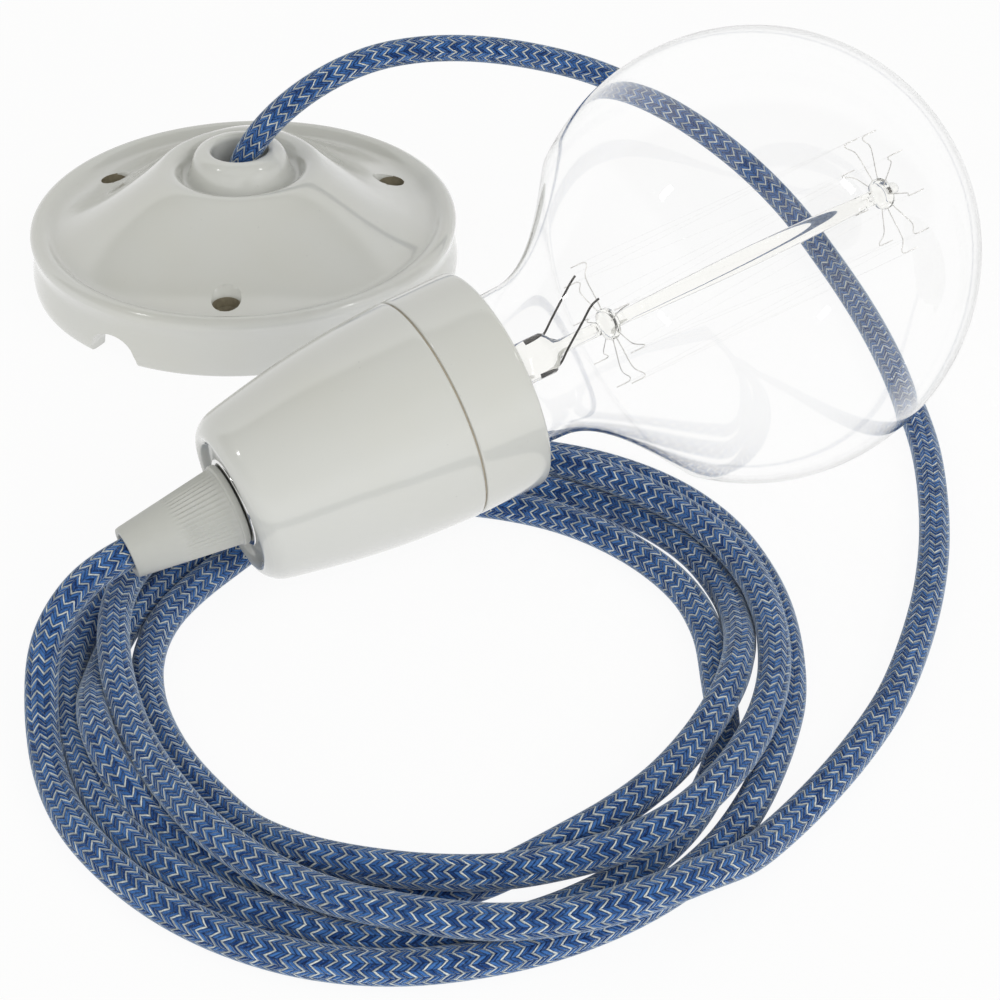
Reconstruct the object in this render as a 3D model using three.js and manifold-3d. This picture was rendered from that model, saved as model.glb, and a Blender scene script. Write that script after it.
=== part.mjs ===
// Pendant cord set: a porcelain ceiling rose, a textile cord, and an E27
// porcelain lampholder with a clear globe bulb screwed into it, laid out on a
// flat surface. Millimetres, +Z up, +X along the row from rose to bulb, and the
// origin on the surface, under the middle of the rigid pieces.

import * as THREE from "three";
import { mergeVertices } from "three/addons/utils/BufferGeometryUtils.js";
import Module from "manifold-3d";

const wasm = await Module();
wasm.setup();

// Clearance left between two faces that touch
const seatGap = 0.3;

// Cord: braided cover over two insulated cores
const cordDiameter = 6.3;
const coreDiameter = 2.2;

// Ceiling rose
const roseDiameter = 104;
const roseRimHeight = 13;
const roseBeadRadius = 2.3;
const roseChannelWidth = 2.4;
const roseCrestHeight = 29;
const roseCrestDiameter = 37;
const roseBossHeight = 32.7;
const roseBossDiameter = 24.6;
const roseGrooveHeight = 24.7;
const roseCordHole = 13.4;
const roseWall = 5.2;
const roseHubFloor = 17.6;
const roseScrewCircle = 80.4;
const roseScrewHole = 5;
const roseScrewRecess = 7;
const roseScrewRecessDepth = 2.4;
const roseScrews = 3;
const roseTurn = -91;
const roseNotchWidth = 14;
const roseNotchHeight = 6.8;
const roseNotchTurn = -31;

// Cord clamp under the rose's hub
const clampLength = 17;
const clampWidth = 14.6;
const clampHeight = 7.5;
const clampOffset = -1.6;
const clampScrewDiameter = 3;
const clampScrewHead = 5;

// Terminal block that lies in the rose
const blockLength = 17;
const blockWidth = 18;
const blockHeight = 10.4;
const blockOffset = 20;
const poleSpacing = 8.4;
const poleScrew = 3.4;
const poleScrewDepth = 4;

// Globe bulb, measured from the middle of its globe towards its cap
const globeDiameter = 95;
const glassWall = 0.9;
const neckRadius = 16.6;
const neckStart = 53.5;
const capStart = 65;
const capThreadRadius = 12.75;
const capWall = 0.35;
const capThreadLength = 16;
const threadSpacing = 3.63;
const threadDepth = 0.5;
const capTip = 91.5;
const tipContactDiameter = 9.6;

// Glass stem with its two buttons and the wire cage
const pressStart = 50;
const pressLength = 8;
const pressWidth = 11;
const pressThickness = 6;
const pressTurn = 49;
const rodRadius = 1.6;
const nearButton = 34.8;
const farButton = -33.5;
const buttonRadius = 3.5;
const buttonLength = 4;
const hookCount = 9;
const hookWire = 0.4;
const hookTip = 4;
const hookKink = 2;
const cageRadius = 13.6;
const cageTurn = 177;
const leadWire = 0.7;
const leadEndInset = 1.2;
const leadEndLift = 3.5;
const filamentWire = 0.16;

// Lampholder, measured from its mouth towards the cord
const mouthFromGlobe = 62;
const holderRadius = 23.5;
const skirtLength = 15;
const domeEnd = 59.5;
const domeLipRadius = 15.6;
const domeShoulderRadius = 20;
const recessDepth = 1.8;
const recessRadius = 11.8;
const skirtWall = 4.4;
const spigotLength = 6;
const spigotWall = 2;
const domeWall = 3.4;
const domeFloor = 4.8;
const insertFlange = 3.4;
const insertRearFace = 38;
const wellFloor = 32.5;
const shellWall = 0.45;
const shellStart = 5.2;

// Threaded tube, nut, washer and grip at the cord end of the holder
const nippleRadius = 5;
const nippleBore = 3.65;
const nippleLength = 19;
const nutAcrossFlats = 14;
const nutThickness = 3;
const washerDiameter = 18.6;
const washerThickness = 1;
const gripBaseRadius = 8.5;
const gripTipRadius = 5.2;
const gripLength = 22.6;
const gripFlange = 1.5;
const gripRibs = 26;
const gripRibDepth = 0.35;
const gripRibbedLength = 12;

// Where the pieces lie, seen from above with the rose's middle at zero
const globeX = 114.7;
const globeY = -78.8;
const holderHeading = 208.4;
const holderTilt = 11;
const coilX = 47.4;
const coilY = -166.7;
const coilOuterRadius = 72;
const coilInnerRadius = 50;
const coilHeight = 11.2;
const coilTopWidth = 6;

// Materials
function finish(color, roughness, metalness = 0, extra = {}) {
  return new THREE.MeshStandardMaterial({ color, roughness, metalness, ...extra });
}
const porcelain = () => finish(0xe9eae6, 0.12);
const brass = () => finish(0xc9a75a, 0.3, 1);
const steel = () => finish(0xc8cacc, 0.28, 1);
const nylon = () => finish(0xf2f2ef, 0.5);
const clearGlass = () => finish(0xffffff, 0.02, 0, { transparent: true, opacity: 0.15 });
const braid = () => finish(0x4a73ad, 0.9);

const degrees = THREE.MathUtils.degToRad;
const point = (x, y, z) => new THREE.Vector3(x, y, z);

// A closed solid keeps only its positions, with its faces turned outwards.
function closed(geometry) {
  const solid = geometry.clone();
  solid.deleteAttribute("normal");
  solid.deleteAttribute("uv");
  const merged = mergeVertices(solid, 1e-5);
  return volume(merged) < 0 ? turnedFaces(merged) : merged;
}

function volume(geometry) {
  const place = geometry.attributes.position;
  const order = geometry.index.array;
  const corner = [point(0, 0, 0), point(0, 0, 0), point(0, 0, 0)];
  let sum = 0;
  for (let i = 0; i < order.length; i += 3) {
    corner.forEach((c, k) => c.fromBufferAttribute(place, order[i + k]));
    sum += corner[0].dot(corner[1].clone().cross(corner[2])) / 6;
  }
  return sum;
}

function turnedFaces(geometry) {
  const order = Array.from(geometry.index.array);
  for (let i = 0; i < order.length; i += 3) {
    [order[i], order[i + 1]] = [order[i + 1], order[i]];
  }
  geometry.setIndex(order);
  return geometry;
}

function asManifold(geometry) {
  const solid = closed(geometry);
  const vertProperties = new Float32Array(solid.attributes.position.array);
  const triVerts = new Uint32Array(solid.index.array);
  return new wasm.Manifold(new wasm.Mesh({ numProp: 3, vertProperties, triVerts }));
}

function fromManifold(manifold) {
  const { vertProperties, triVerts } = manifold.getMesh();
  const geometry = new THREE.BufferGeometry();
  geometry.setAttribute("position", new THREE.Float32BufferAttribute(vertProperties, 3));
  geometry.setIndex(Array.from(triVerts));
  return geometry;
}

function cut(body, ...tools) {
  return fromManifold(tools.reduce((rest, tool) => rest.subtract(asManifold(tool)), asManifold(body)));
}

function join(body, ...others) {
  return fromManifold(others.reduce((sum, other) => sum.add(asManifold(other)), asManifold(body)));
}

// A turned form: the outline is a list of [radius, height] about the Z axis.
function turned(outline, segments = 48) {
  const corners = outline.map(([r, z]) => new THREE.Vector2(r, z));
  return closed(new THREE.LatheGeometry(corners, segments).rotateX(Math.PI / 2));
}

function ringOutline(outline) {
  return [...outline, outline[0]];
}

// A ring whose outline changes on the way round, for lobes, ribs and threads.
function shapedRing(segments, outlineAt) {
  const rings = [];
  for (let i = 0; i < segments; i++) {
    rings.push(outlineAt((2 * Math.PI * i) / segments));
  }
  const count = rings[0].length;
  const places = [];
  const order = [];
  rings.forEach((ring, i) => {
    const angle = (2 * Math.PI * i) / segments;
    for (const [r, z] of ring) {
      places.push(r * Math.cos(angle), r * Math.sin(angle), z);
    }
    const next = ((i + 1) % segments) * count;
    for (let j = 0; j < count; j++) {
      const a = i * count + j;
      const b = i * count + ((j + 1) % count);
      const c = next + ((j + 1) % count);
      const d = next + j;
      order.push(a, b, c, a, c, d);
    }
  });
  const geometry = new THREE.BufferGeometry();
  geometry.setAttribute("position", new THREE.Float32BufferAttribute(places, 3));
  geometry.setIndex(order);
  return closed(geometry);
}

// A round bar along Z from one height to another.
function bar(radius, from, to, segments = 16) {
  return turned([[0, from], [radius, from], [radius, to], [0, to]], segments);
}

// A tube swept along a path, with a many-sided section.
function swept(path, radius, sides, steps) {
  const corners = [];
  for (let i = 0; i < sides; i++) {
    const angle = (2 * Math.PI * (i + 0.5)) / sides;
    corners.push(new THREE.Vector2(radius * Math.cos(angle), radius * Math.sin(angle)));
  }
  const section = new THREE.Shape(corners);
  const options = { steps, bevelEnabled: false, extrudePath: path };
  return closed(new THREE.ExtrudeGeometry(section, options));
}

function smoothPath(points) {
  return new THREE.CatmullRomCurve3(points, false, "centripetal");
}

const layout = new THREE.Group();

function add(parent, name, geometry, material) {
  const mesh = new THREE.Mesh(geometry, material);
  mesh.name = name;
  parent.add(mesh);
  return mesh;
}

// Ceiling rose: one glazed porcelain moulding. From the crest round its hub
// the face falls in a concave valley to each screw hole and in a fuller ridge
// between two of them, down to the channel inside the bead.
const roseRadius = roseDiameter / 2;
const crestRadius = roseCrestDiameter / 2;
const bossRadius = roseBossDiameter / 2;
const channelRadius = roseRadius - 2 * roseBeadRadius - roseChannelWidth / 2;
const channelHeight = roseRimHeight - 0.2;

function valleyHeight(radius) {
  const t = (radius - crestRadius) / (channelRadius - crestRadius);
  return THREE.MathUtils.lerp(roseCrestHeight, channelHeight, 1 - (1 - t) ** 2.4);
}

function ridgeHeight(radius) {
  const t = (radius - crestRadius) / (channelRadius - crestRadius);
  return THREE.MathUtils.lerp(roseCrestHeight, channelHeight, t ** 1.15);
}

function faceHeight(radius, angle) {
  const ridge = (0.5 - 0.5 * Math.cos(roseScrews * angle)) ** 1.2;
  return THREE.MathUtils.lerp(valleyHeight(radius), ridgeHeight(radius), ridge);
}

function roseOutline(angle) {
  const hole = roseCordHole / 2;
  const bead = [roseRadius - roseBeadRadius - 0.3, roseRimHeight - 0.3];
  const inner = roseRadius - roseWall;
  const outline = [
    [hole, roseBossHeight - 1], [hole + 0.9, roseBossHeight],
    [bossRadius - 3.4, roseBossHeight - 0.9], [bossRadius - 1, roseBossHeight - 3],
    [bossRadius, roseGrooveHeight + 2], [bossRadius + 1, roseGrooveHeight],
    [crestRadius - 3, roseGrooveHeight + 0.8], [crestRadius - 1.8, roseCrestHeight - 1.2],
    [crestRadius - 0.8, roseCrestHeight - 0.1],
  ];
  for (let i = 0; i <= 6; i++) {
    const radius = THREE.MathUtils.lerp(crestRadius + 0.4, channelRadius, i / 6);
    outline.push([radius, faceHeight(radius, angle)]);
  }
  for (const turn of [150, 95, 45, -10]) {
    const [r, z] = bead;
    const swing = degrees(turn);
    outline.push([r + roseBeadRadius * Math.cos(swing), z + roseBeadRadius * Math.sin(swing)]);
  }
  outline.push(
    [roseRadius - 1.1, roseRimHeight - 4.2], [roseRadius, 3.4],
    [roseRadius - 0.5, 1.2], [roseRadius - 2, 0], [inner, 0], [inner, 5.2],
  );
  for (let i = 0; i <= 3; i++) {
    const radius = THREE.MathUtils.lerp(inner - 3, crestRadius + 2, i / 3);
    outline.push([radius, Math.min(valleyHeight(radius) - roseWall, roseHubFloor)]);
  }
  outline.push([hole, roseHubFloor]);
  return outline;
}

function roseScrewCut(turn) {
  const radius = roseScrewCircle / 2;
  const floor = valleyHeight(radius) - roseScrewRecessDepth;
  const hole = turned([
    [0, -1], [roseScrewHole / 2, -1], [roseScrewHole / 2, floor - 0.6],
    [roseScrewRecess / 2, floor], [roseScrewRecess / 2, floor + 12], [0, floor + 12],
  ], 12);
  return hole.translate(radius, 0, 0).rotateZ(turn);
}

function notchCut() {
  const half = roseNotchWidth / 2;
  const arch = new THREE.Shape();
  arch.moveTo(-half, -1);
  arch.lineTo(half, -1);
  arch.lineTo(half - 0.6, roseNotchHeight * 0.45);
  arch.quadraticCurveTo(half - 2, roseNotchHeight, 0, roseNotchHeight);
  arch.quadraticCurveTo(2 - half, roseNotchHeight, 0.6 - half, roseNotchHeight * 0.45);
  const options = { depth: roseWall * 3, bevelEnabled: false, curveSegments: 5 };
  const tool = new THREE.ExtrudeGeometry(arch, options).rotateX(Math.PI / 2).rotateZ(Math.PI / 2);
  return tool.translate(roseRadius - roseWall * 1.5, 0, 0).rotateZ(degrees(roseNotchTurn));
}

function buildRose() {
  const cuts = [notchCut()];
  for (let i = 0; i < roseScrews; i++) {
    cuts.push(roseScrewCut((2 * Math.PI * i) / roseScrews));
  }
  const body = cut(shapedRing(42, roseOutline), ...cuts);
  add(layout, "ceiling_rose", body, porcelain()).rotation.z = degrees(roseTurn);
}

// Cord clamp: a nylon block under the hub, with a screw that bears on the cord.
const clampTop = roseHubFloor - seatGap;
const cordRadius = cordDiameter / 2;
const clampScrewLength = clampWidth / 2 - cordRadius;

function buildClamp() {
  const bore = bar(cordRadius + seatGap, -1, clampHeight + 1, 24).translate(clampOffset, 0, 0);
  const screwBore = bar(clampScrewDiameter / 2 + seatGap, 0, clampWidth, 12)
    .rotateX(Math.PI / 2).translate(clampOffset, 0, clampHeight / 2);
  const block = new THREE.BoxGeometry(clampLength, clampWidth, clampHeight);
  const body = cut(block.translate(0, 0, clampHeight / 2), bore, screwBore);
  add(layout, "rose_cord_clamp", body, nylon()).position.z = clampTop - clampHeight;
  const screw = turned([
    [0, 0], [clampScrewDiameter / 2, 0], [clampScrewDiameter / 2, clampScrewLength],
    [clampScrewHead / 2, clampScrewLength], [clampScrewHead / 2, clampScrewLength + 1.6],
    [0, clampScrewLength + 1.6],
  ], 12).rotateX(Math.PI / 2);
  const mesh = add(layout, "rose_clamp_screw", screw, steel());
  mesh.position.set(clampOffset, -cordRadius - 2 * seatGap, clampTop - clampHeight / 2);
}

// Terminal block: two poles, each with a wire bore and two screws from above.
function polePlaces() {
  return [-poleSpacing / 2, poleSpacing / 2];
}

function buildTerminalBlock() {
  const screwPlaces = [-blockLength / 4, blockLength / 4];
  const tools = [];
  for (const y of polePlaces()) {
    tools.push(bar(coreDiameter / 2 + seatGap, -1, blockLength + 1, 8)
      .rotateY(Math.PI / 2).translate(-blockLength / 2, y, blockHeight * 0.42));
    for (const x of screwPlaces) {
      tools.push(bar(poleScrew / 2 + seatGap, blockHeight - poleScrewDepth - seatGap, blockHeight + 1, 10)
        .translate(x, y, 0));
    }
  }
  const block = new THREE.BoxGeometry(blockLength, blockWidth, blockHeight);
  const group = new THREE.Group();
  group.position.set(blockOffset, 0, 0);
  layout.add(group);
  add(group, "terminal_block", cut(block.translate(0, 0, blockHeight / 2), ...tools), nylon());
  polePlaces().forEach((y, pole) => screwPlaces.forEach((x, end) => {
    const screw = bar(poleScrew / 2, blockHeight - poleScrewDepth, blockHeight - 1, 10);
    add(group, `block_screw_${pole + 1}_${end + 1}`, screw, brass()).position.set(x, y, 0);
  }));
}

// The two cores between the end of the cord and the terminal block.
const cordInRose = clampTop - clampHeight - 1;

function buildRoseCores() {
  const boreHeight = blockHeight * 0.42;
  const names = ["rose_core_brown", "rose_core_blue"];
  const colours = [0x6b3f24, 0x2b5fa8];
  polePlaces().forEach((y, i) => {
    const side = Math.sign(y);
    const start = cordInRose - 2 * seatGap;
    const path = smoothPath([
      point(clampOffset, side * 1.4, start), point(clampOffset + 0.4, side * 1.7, start - 1.8),
      point(clampOffset + 3.4, side * 2.8, boreHeight + 0.5), point(blockOffset - blockLength / 2 - 3, y, boreHeight),
      point(blockOffset - blockLength / 2 + 3, y, boreHeight),
    ]);
    add(layout, names[i], swept(path, coreDiameter / 2, 6, 9), finish(colours[i], 0.45));
  });
}

// The bulb and holder share one axis: Z runs from the middle of the globe to
// the cord end, X points down, and the globe touches the surface.
const lampHeading = new THREE.Group();
lampHeading.position.set(globeX, globeY, globeDiameter / 2);
lampHeading.rotation.z = degrees(holderHeading);
layout.add(lampHeading);
const lamp = new THREE.Group();
lamp.rotation.y = Math.PI / 2 + degrees(holderTilt);
lampHeading.add(lamp);
const holder = new THREE.Group();
holder.position.z = mouthFromGlobe;
lamp.add(holder);

// Bulb envelope: blown glass, open where the stem's flare is fused into it.
const capInnerRadius = capThreadRadius - threadDepth - capWall;
const sealRadius = capInnerRadius - seatGap;
const sealEnd = capStart + 8;

function envelopeOutline() {
  const radius = globeDiameter / 2;
  const leave = degrees(53);
  const outer = [];
  for (let i = 0; i <= 11; i++) {
    const angle = THREE.MathUtils.lerp(Math.PI, leave, i / 11);
    outer.push([radius * Math.sin(angle), radius * Math.cos(angle)]);
  }
  const neck = new THREE.CubicBezierCurve(
    new THREE.Vector2(radius * Math.sin(leave), radius * Math.cos(leave)),
    new THREE.Vector2(radius * Math.sin(leave) - 12, radius * Math.cos(leave) + 9),
    new THREE.Vector2(neckRadius + 0.4, neckStart - 8),
    new THREE.Vector2(neckRadius, neckStart),
  );
  for (const p of neck.getPoints(5).slice(1)) {
    outer.push([p.x, p.y]);
  }
  outer.push([neckRadius - 0.6, capStart - 6], [neckRadius - 2.4, capStart - 3]);
  outer.push([sealRadius + 0.4, capStart - 0.6], [sealRadius, capStart + 0.4], [sealRadius, sealEnd]);
  return outer;
}

function buildEnvelope() {
  const outer = envelopeOutline();
  const curve = outer.map(([r, z]) => new THREE.Vector2(r, z));
  const inner = curve.map((p, i) => {
    const before = curve[Math.max(i - 1, 0)];
    const after = curve[Math.min(i + 1, curve.length - 1)];
    const along = after.clone().sub(before).normalize();
    return [Math.max(p.x - along.y * glassWall, 0), p.y + along.x * glassWall];
  });
  inner[0] = [0, outer[0][1] + glassWall];
  inner[inner.length - 1] = [sealRadius - glassWall, sealEnd];
  add(lamp, "bulb_glass", turned([...outer, ...inner.reverse()], 24), clearGlass());
}

// Bulb cap: rolled sheet with a round thread, black glass and the tip contact.
function threadWave(height, angle, from, to) {
  const fade = Math.min(1, Math.max(0, (height - from) / 2), Math.max(0, (to - height) / 2));
  return threadDepth * fade * Math.cos((2 * Math.PI * height) / threadSpacing - angle);
}

function threadedShell(meanRadius, wall, from, to, threadFrom, threadTo, extra = []) {
  const rows = Math.round((threadTo - threadFrom) / (threadSpacing / 4));
  const heights = [from];
  for (let i = 0; i <= rows; i++) {
    heights.push(THREE.MathUtils.lerp(threadFrom, threadTo, i / rows));
  }
  heights.push(to);
  return shapedRing(16, (angle) => {
    const wave = (z) => threadWave(z, angle, threadFrom, threadTo);
    const outside = heights.map((z) => [meanRadius + wave(z), z]);
    const inside = heights.map((z) => [meanRadius - wall + wave(z), z]).reverse();
    return [...outside, ...extra, ...inside];
  });
}

const capEnd = capStart + capThreadLength + 1.6;
const tipRadius = tipContactDiameter / 2;

function buildCap() {
  const shell = threadedShell(capThreadRadius, capWall, capStart, capEnd, capStart + 2, capEnd - 1);
  add(lamp, "bulb_cap", shell, finish(0xc6c8ca, 0.3, 1));
  const glassTop = capTip - 1.6;
  const glass = turned([
    [0, capEnd - 2], [capInnerRadius - seatGap, capEnd - 2], [capInnerRadius - seatGap, capEnd + 0.2],
    [tipRadius + 1.6, glassTop - 0.6], [tipRadius + 0.8, glassTop], [0, glassTop],
  ], 24);
  add(lamp, "cap_insulator", glass, finish(0x16161a, 0.2));
  const contact = turned([
    [0, glassTop + seatGap], [tipRadius, glassTop + seatGap], [tipRadius - 0.4, capTip - 0.5],
    [tipRadius - 2, capTip], [0, capTip],
  ], 20);
  add(lamp, "tip_contact", contact, finish(0xb9bbbd, 0.35, 1));
}

// Stem: flare, pinched press, rod and buttons, all fused from one glass.
function buildStem() {
  const flare = sealRadius - glassWall - seatGap;
  const wall = 0.9;
  const rodEnd = farButton - buttonLength / 2 - 1.5;
  const outline = [
    [0, pressStart + pressLength + 1], [3.2, pressStart + pressLength + 2], [3.6, sealEnd - 8],
    [flare - 3.4, sealEnd - 3], [flare - wall, sealEnd], [flare, sealEnd], [flare - 2.2, sealEnd - 3.4],
    [4.5, sealEnd - 8.4], [4.2, pressStart + pressLength], [2.8, pressStart + 1],
    [rodRadius, pressStart - 1.5],
  ];
  for (const middle of [nearButton, farButton]) {
    const half = buttonLength / 2;
    outline.push([rodRadius, middle + half + 0.6], [buttonRadius - 0.7, middle + half]);
    outline.push([buttonRadius, middle + half - 0.8], [buttonRadius, middle - half + 0.8]);
    outline.push([buttonRadius - 0.7, middle - half], [rodRadius, middle - half - 0.6]);
  }
  outline.push([rodRadius * 0.7, rodEnd], [0, rodEnd - 0.4]);
  const pinch = new THREE.BoxGeometry(pressWidth, pressThickness, pressLength);
  pinch.translate(0, 0, pressStart + pressLength / 2).rotateZ(degrees(cageTurn + pressTurn));
  add(lamp, "bulb_stem", join(turned(outline, 12), pinch), clearGlass());
}

// Cage wires. A place in the cage is an angle, a radius and a height.
const inCage = (angle, radius, z) =>
  point(radius * Math.cos(degrees(angle)), radius * Math.sin(degrees(angle)), z);
const hookStep = 360 / hookCount;
const wireGap = seatGap + hookWire / 2;

// Each hook leaves its button straight out, kinks back towards the middle of
// the bulb and ends in a tip along the rod, which the filament is laid over.
function hookStops(angle, middle, away) {
  const start = buttonRadius + seatGap;
  const kinkEnd = middle - away * hookTip * 0.4;
  return [
    inCage(angle, start, middle), inCage(angle, cageRadius - hookKink, middle + away * 0.3),
    inCage(angle, cageRadius - 0.5, kinkEnd), inCage(angle, cageRadius, kinkEnd + away * 0.5),
    inCage(angle, cageRadius, kinkEnd + away * hookTip),
  ];
}

function buildHooks() {
  for (let i = 0; i < hookCount; i++) {
    const stops = hookStops(cageTurn + hookStep * (i + 0.5), farButton, -1);
    add(lamp, `far_hook_${i + 1}`, wireThrough(stops, hookWire / 2, across), steel());
  }
  for (let i = 1; i < hookCount; i++) {
    const stops = hookStops(cageTurn + hookStep * i, nearButton, 1);
    add(lamp, `near_hook_${i}`, wireThrough(stops, hookWire / 2, across), steel());
  }
}

// Lead wires: from the press out to the first and last turn of the filament.
const leadSpread = hookStep * 0.56;
const leadEndRadius = cageRadius - leadEndInset;
const leadEnd = nearButton + leadEndLift;

function buildLeads() {
  [-1, 1].forEach((side, i) => {
    const end = cageTurn + side * leadSpread;
    const foot = cageTurn + pressTurn + (side < 0 ? 180 : 0);
    const path = smoothPath([
      inCage(foot, 3.4, pressStart - seatGap), inCage(foot, 3.6, pressStart - 2.6),
      inCage(end, leadEndRadius / 2, pressStart - 5.6), inCage(end, leadEndRadius - 0.9, leadEnd + 2.8),
      inCage(end, leadEndRadius, leadEnd),
    ]);
    add(lamp, `lead_wire_${i + 1}`, swept(path, leadWire / 2, 5, 8), finish(0x3a3634, 0.5, 1));
  });
}

// Filament: one fine wire that runs to and fro between the two rows of hooks,
// round the outside of each hook's end.
function buildFilament() {
  const reach = cageRadius + wireGap;
  const nearEnd = nearButton + 0.8;
  const farEnd = farButton - 0.8;
  const startRadius = leadEndRadius + leadWire / 2 + seatGap;
  const stops = [inCage(cageTurn + leadSpread, startRadius, leadEnd - 0.3)];
  for (let i = 0; i < hookCount; i++) {
    const far = cageTurn + hookStep * (i + 0.5);
    const near = cageTurn + hookStep * (i + 1);
    stops.push(inCage(far - 3, reach, farEnd + 1.2), inCage(far, reach, farEnd), inCage(far + 3, reach, farEnd + 1.2));
    if (i < hookCount - 1) {
      stops.push(inCage(near - 3, reach, nearEnd - 1.2), inCage(near, reach, nearEnd), inCage(near + 3, reach, nearEnd - 1.2));
    }
  }
  stops.push(inCage(cageTurn - leadSpread, startRadius, leadEnd - 0.3));
  add(lamp, "filament", wireThrough(stops, filamentWire / 2, outwards), finish(0x6a6a6c, 0.4, 1));
}

// A fine wire with one square section at each stop. The section keeps one
// diagonal square to the wire's own plane: across it for a hook, which is bent
// in one plane through the rod, and outwards for the filament.
const across = (stop) => point(-stop.y, stop.x, 0);
const outwards = (stop) => point(stop.x, stop.y, 0);

function wireThrough(stops, radius, squareTo) {
  const places = [];
  const order = [];
  stops.forEach((stop, i) => {
    const before = stops[Math.max(i - 1, 0)];
    const after = stops[Math.min(i + 1, stops.length - 1)];
    const along = after.clone().sub(before).normalize();
    const side = along.clone().cross(squareTo(stop)).normalize();
    const face = side.clone().cross(along).normalize();
    for (const [u, v] of [[1, 0], [0, 1], [-1, 0], [0, -1]]) {
      const p = stop.clone().addScaledVector(face, u * radius).addScaledVector(side, v * radius);
      places.push(p.x, p.y, p.z);
    }
    if (i > 0) {
      for (let k = 0; k < 4; k++) {
        const a = (i - 1) * 4 + k;
        const b = (i - 1) * 4 + ((k + 1) % 4);
        order.push(a, b, b + 4, a, b + 4, a + 4);
      }
    }
  });
  const last = (stops.length - 1) * 4;
  order.push(0, 2, 1, 0, 3, 2, last, last + 1, last + 2, last, last + 2, last + 3);
  const geometry = new THREE.BufferGeometry();
  geometry.setAttribute("position", new THREE.Float32BufferAttribute(places, 3));
  geometry.setIndex(order);
  return closed(geometry);
}

// Holder skirt: the front ring of the porcelain body, with a spigot that
// screws into the dome and holds the insert.
const spigotRadius = holderRadius - domeWall + 0.2;
const skirtEnd = skirtLength - seatGap / 2;
const spigotEnd = skirtLength + spigotLength;

function buildSkirt() {
  const bore = holderRadius - skirtWall;
  const throat = spigotRadius - spigotWall;
  const outline = ringOutline([
    [bore + 0.5, 0], [holderRadius - 1, 0], [holderRadius - 0.3, 0.4], [holderRadius, 1.2],
    [holderRadius - 0.1, skirtEnd - 0.3], [holderRadius - 0.4, skirtEnd], [spigotRadius, skirtEnd],
    [spigotRadius, spigotEnd], [throat, spigotEnd], [throat, 4], [bore, 2.6], [bore, 0.5],
  ]);
  add(holder, "holder_skirt", turned(outline, 28), porcelain());
}

// Holder dome: the rear of the porcelain body, drawn in to a rounded lip
// round the recess that the cord grip stands in.
const domeStart = skirtLength + seatGap / 2;
const socketRadius = spigotRadius + seatGap;
const socketEnd = spigotEnd + insertFlange + 2 * seatGap;
const recessFloor = domeEnd - recessDepth;
const domeInside = recessFloor - domeFloor;
const cavityRadius = socketRadius - 2;
const nippleHole = nippleRadius + seatGap;

function buildDome() {
  const domeLength = domeEnd - domeStart;
  const shoulder = new THREE.CubicBezierCurve(
    new THREE.Vector2(holderRadius - 0.1, domeStart + 0.4),
    new THREE.Vector2(holderRadius - 0.9, domeStart + domeLength * 0.4),
    new THREE.Vector2(domeShoulderRadius + 1.2, domeStart + domeLength * 0.57),
    new THREE.Vector2(domeShoulderRadius - 1.6, domeStart + domeLength * 0.876),
  );
  const outline = [[holderRadius - 0.4, domeStart]];
  for (const p of shoulder.getPoints(6)) {
    outline.push([p.x, p.y]);
  }
  outline.push(
    [domeShoulderRadius - 2.7, domeEnd - 2.2], [domeLipRadius + 0.4, domeEnd - 0.5], [domeLipRadius - 1.2, domeEnd],
    [domeLipRadius - 2.6, domeEnd - 0.5], [recessRadius, recessFloor], [nippleHole, recessFloor],
    [nippleHole, domeInside], [cavityRadius - 7.6, domeInside], [cavityRadius - 4, domeInside - 4],
    [cavityRadius - 0.6, domeInside - 13], [cavityRadius, socketEnd], [socketRadius, socketEnd],
    [socketRadius, domeStart],
  );
  add(holder, "holder_dome", turned(ringOutline(outline), 28), porcelain());
}

// Insert: the porcelain core that carries the screw shell and the contacts.
const shellMean = capThreadRadius + 0.35 + shellWall;
const wellRadius = shellMean + threadDepth + seatGap;
const insertBody = cavityRadius - seatGap - 0.2;
const contactHole = 1.7;
const screwPlace = insertBody * 0.55;
const shellScrewRadius = 1.4;
const terminalPlace = insertBody * 0.5;

function buildInsert() {
  const front = spigotEnd + seatGap;
  const outline = [
    [0, insertRearFace], [insertBody - 2.4, insertRearFace], [insertBody - 0.8, insertRearFace - 2.4],
    [insertBody, front + insertFlange], [spigotRadius, front + insertFlange], [spigotRadius, front],
    [wellRadius, front], [wellRadius, wellFloor], [0, wellFloor],
  ];
  const tools = [bar(contactHole + seatGap, wellFloor - 1, insertRearFace + 1, 12)];
  for (const side of [-1, 1]) {
    tools.push(bar(shellScrewRadius + seatGap, wellFloor - 1, insertRearFace + 1, 12).translate(0, side * screwPlace, 0));
  }
  add(holder, "holder_insert", cut(turned(outline, 24), ...tools), finish(0xe6e4dc, 0.4));
}

function buildScrewShell() {
  const base = wellFloor - seatGap;
  const flange = [[shellMean, base], [8, base], [8, base - 0.6], [shellMean - shellWall, base - 0.6]];
  const threadEnd = capEnd - mouthFromGlobe;
  const heights = threadedShell(shellMean, shellWall, shellStart, base - 1.2, shellStart + 1, threadEnd, flange);
  const tools = [-1, 1].map((side) =>
    bar(shellScrewRadius + seatGap, base - 2, base + 1, 12).translate(0, side * screwPlace, 0));
  add(holder, "screw_shell", cut(heights, ...tools), brass());
  [-1, 1].forEach((side, i) => {
    const head = base - 0.6 - seatGap;
    const screw = turned([
      [0, head - 1.2], [2.3, head - 1.2], [2.3, head], [shellScrewRadius, head],
      [shellScrewRadius, insertRearFace - 0.8], [0, insertRearFace - 0.8],
    ], 12);
    add(holder, `shell_screw_${i + 1}`, screw, steel()).position.y = side * screwPlace;
  });
}

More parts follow.
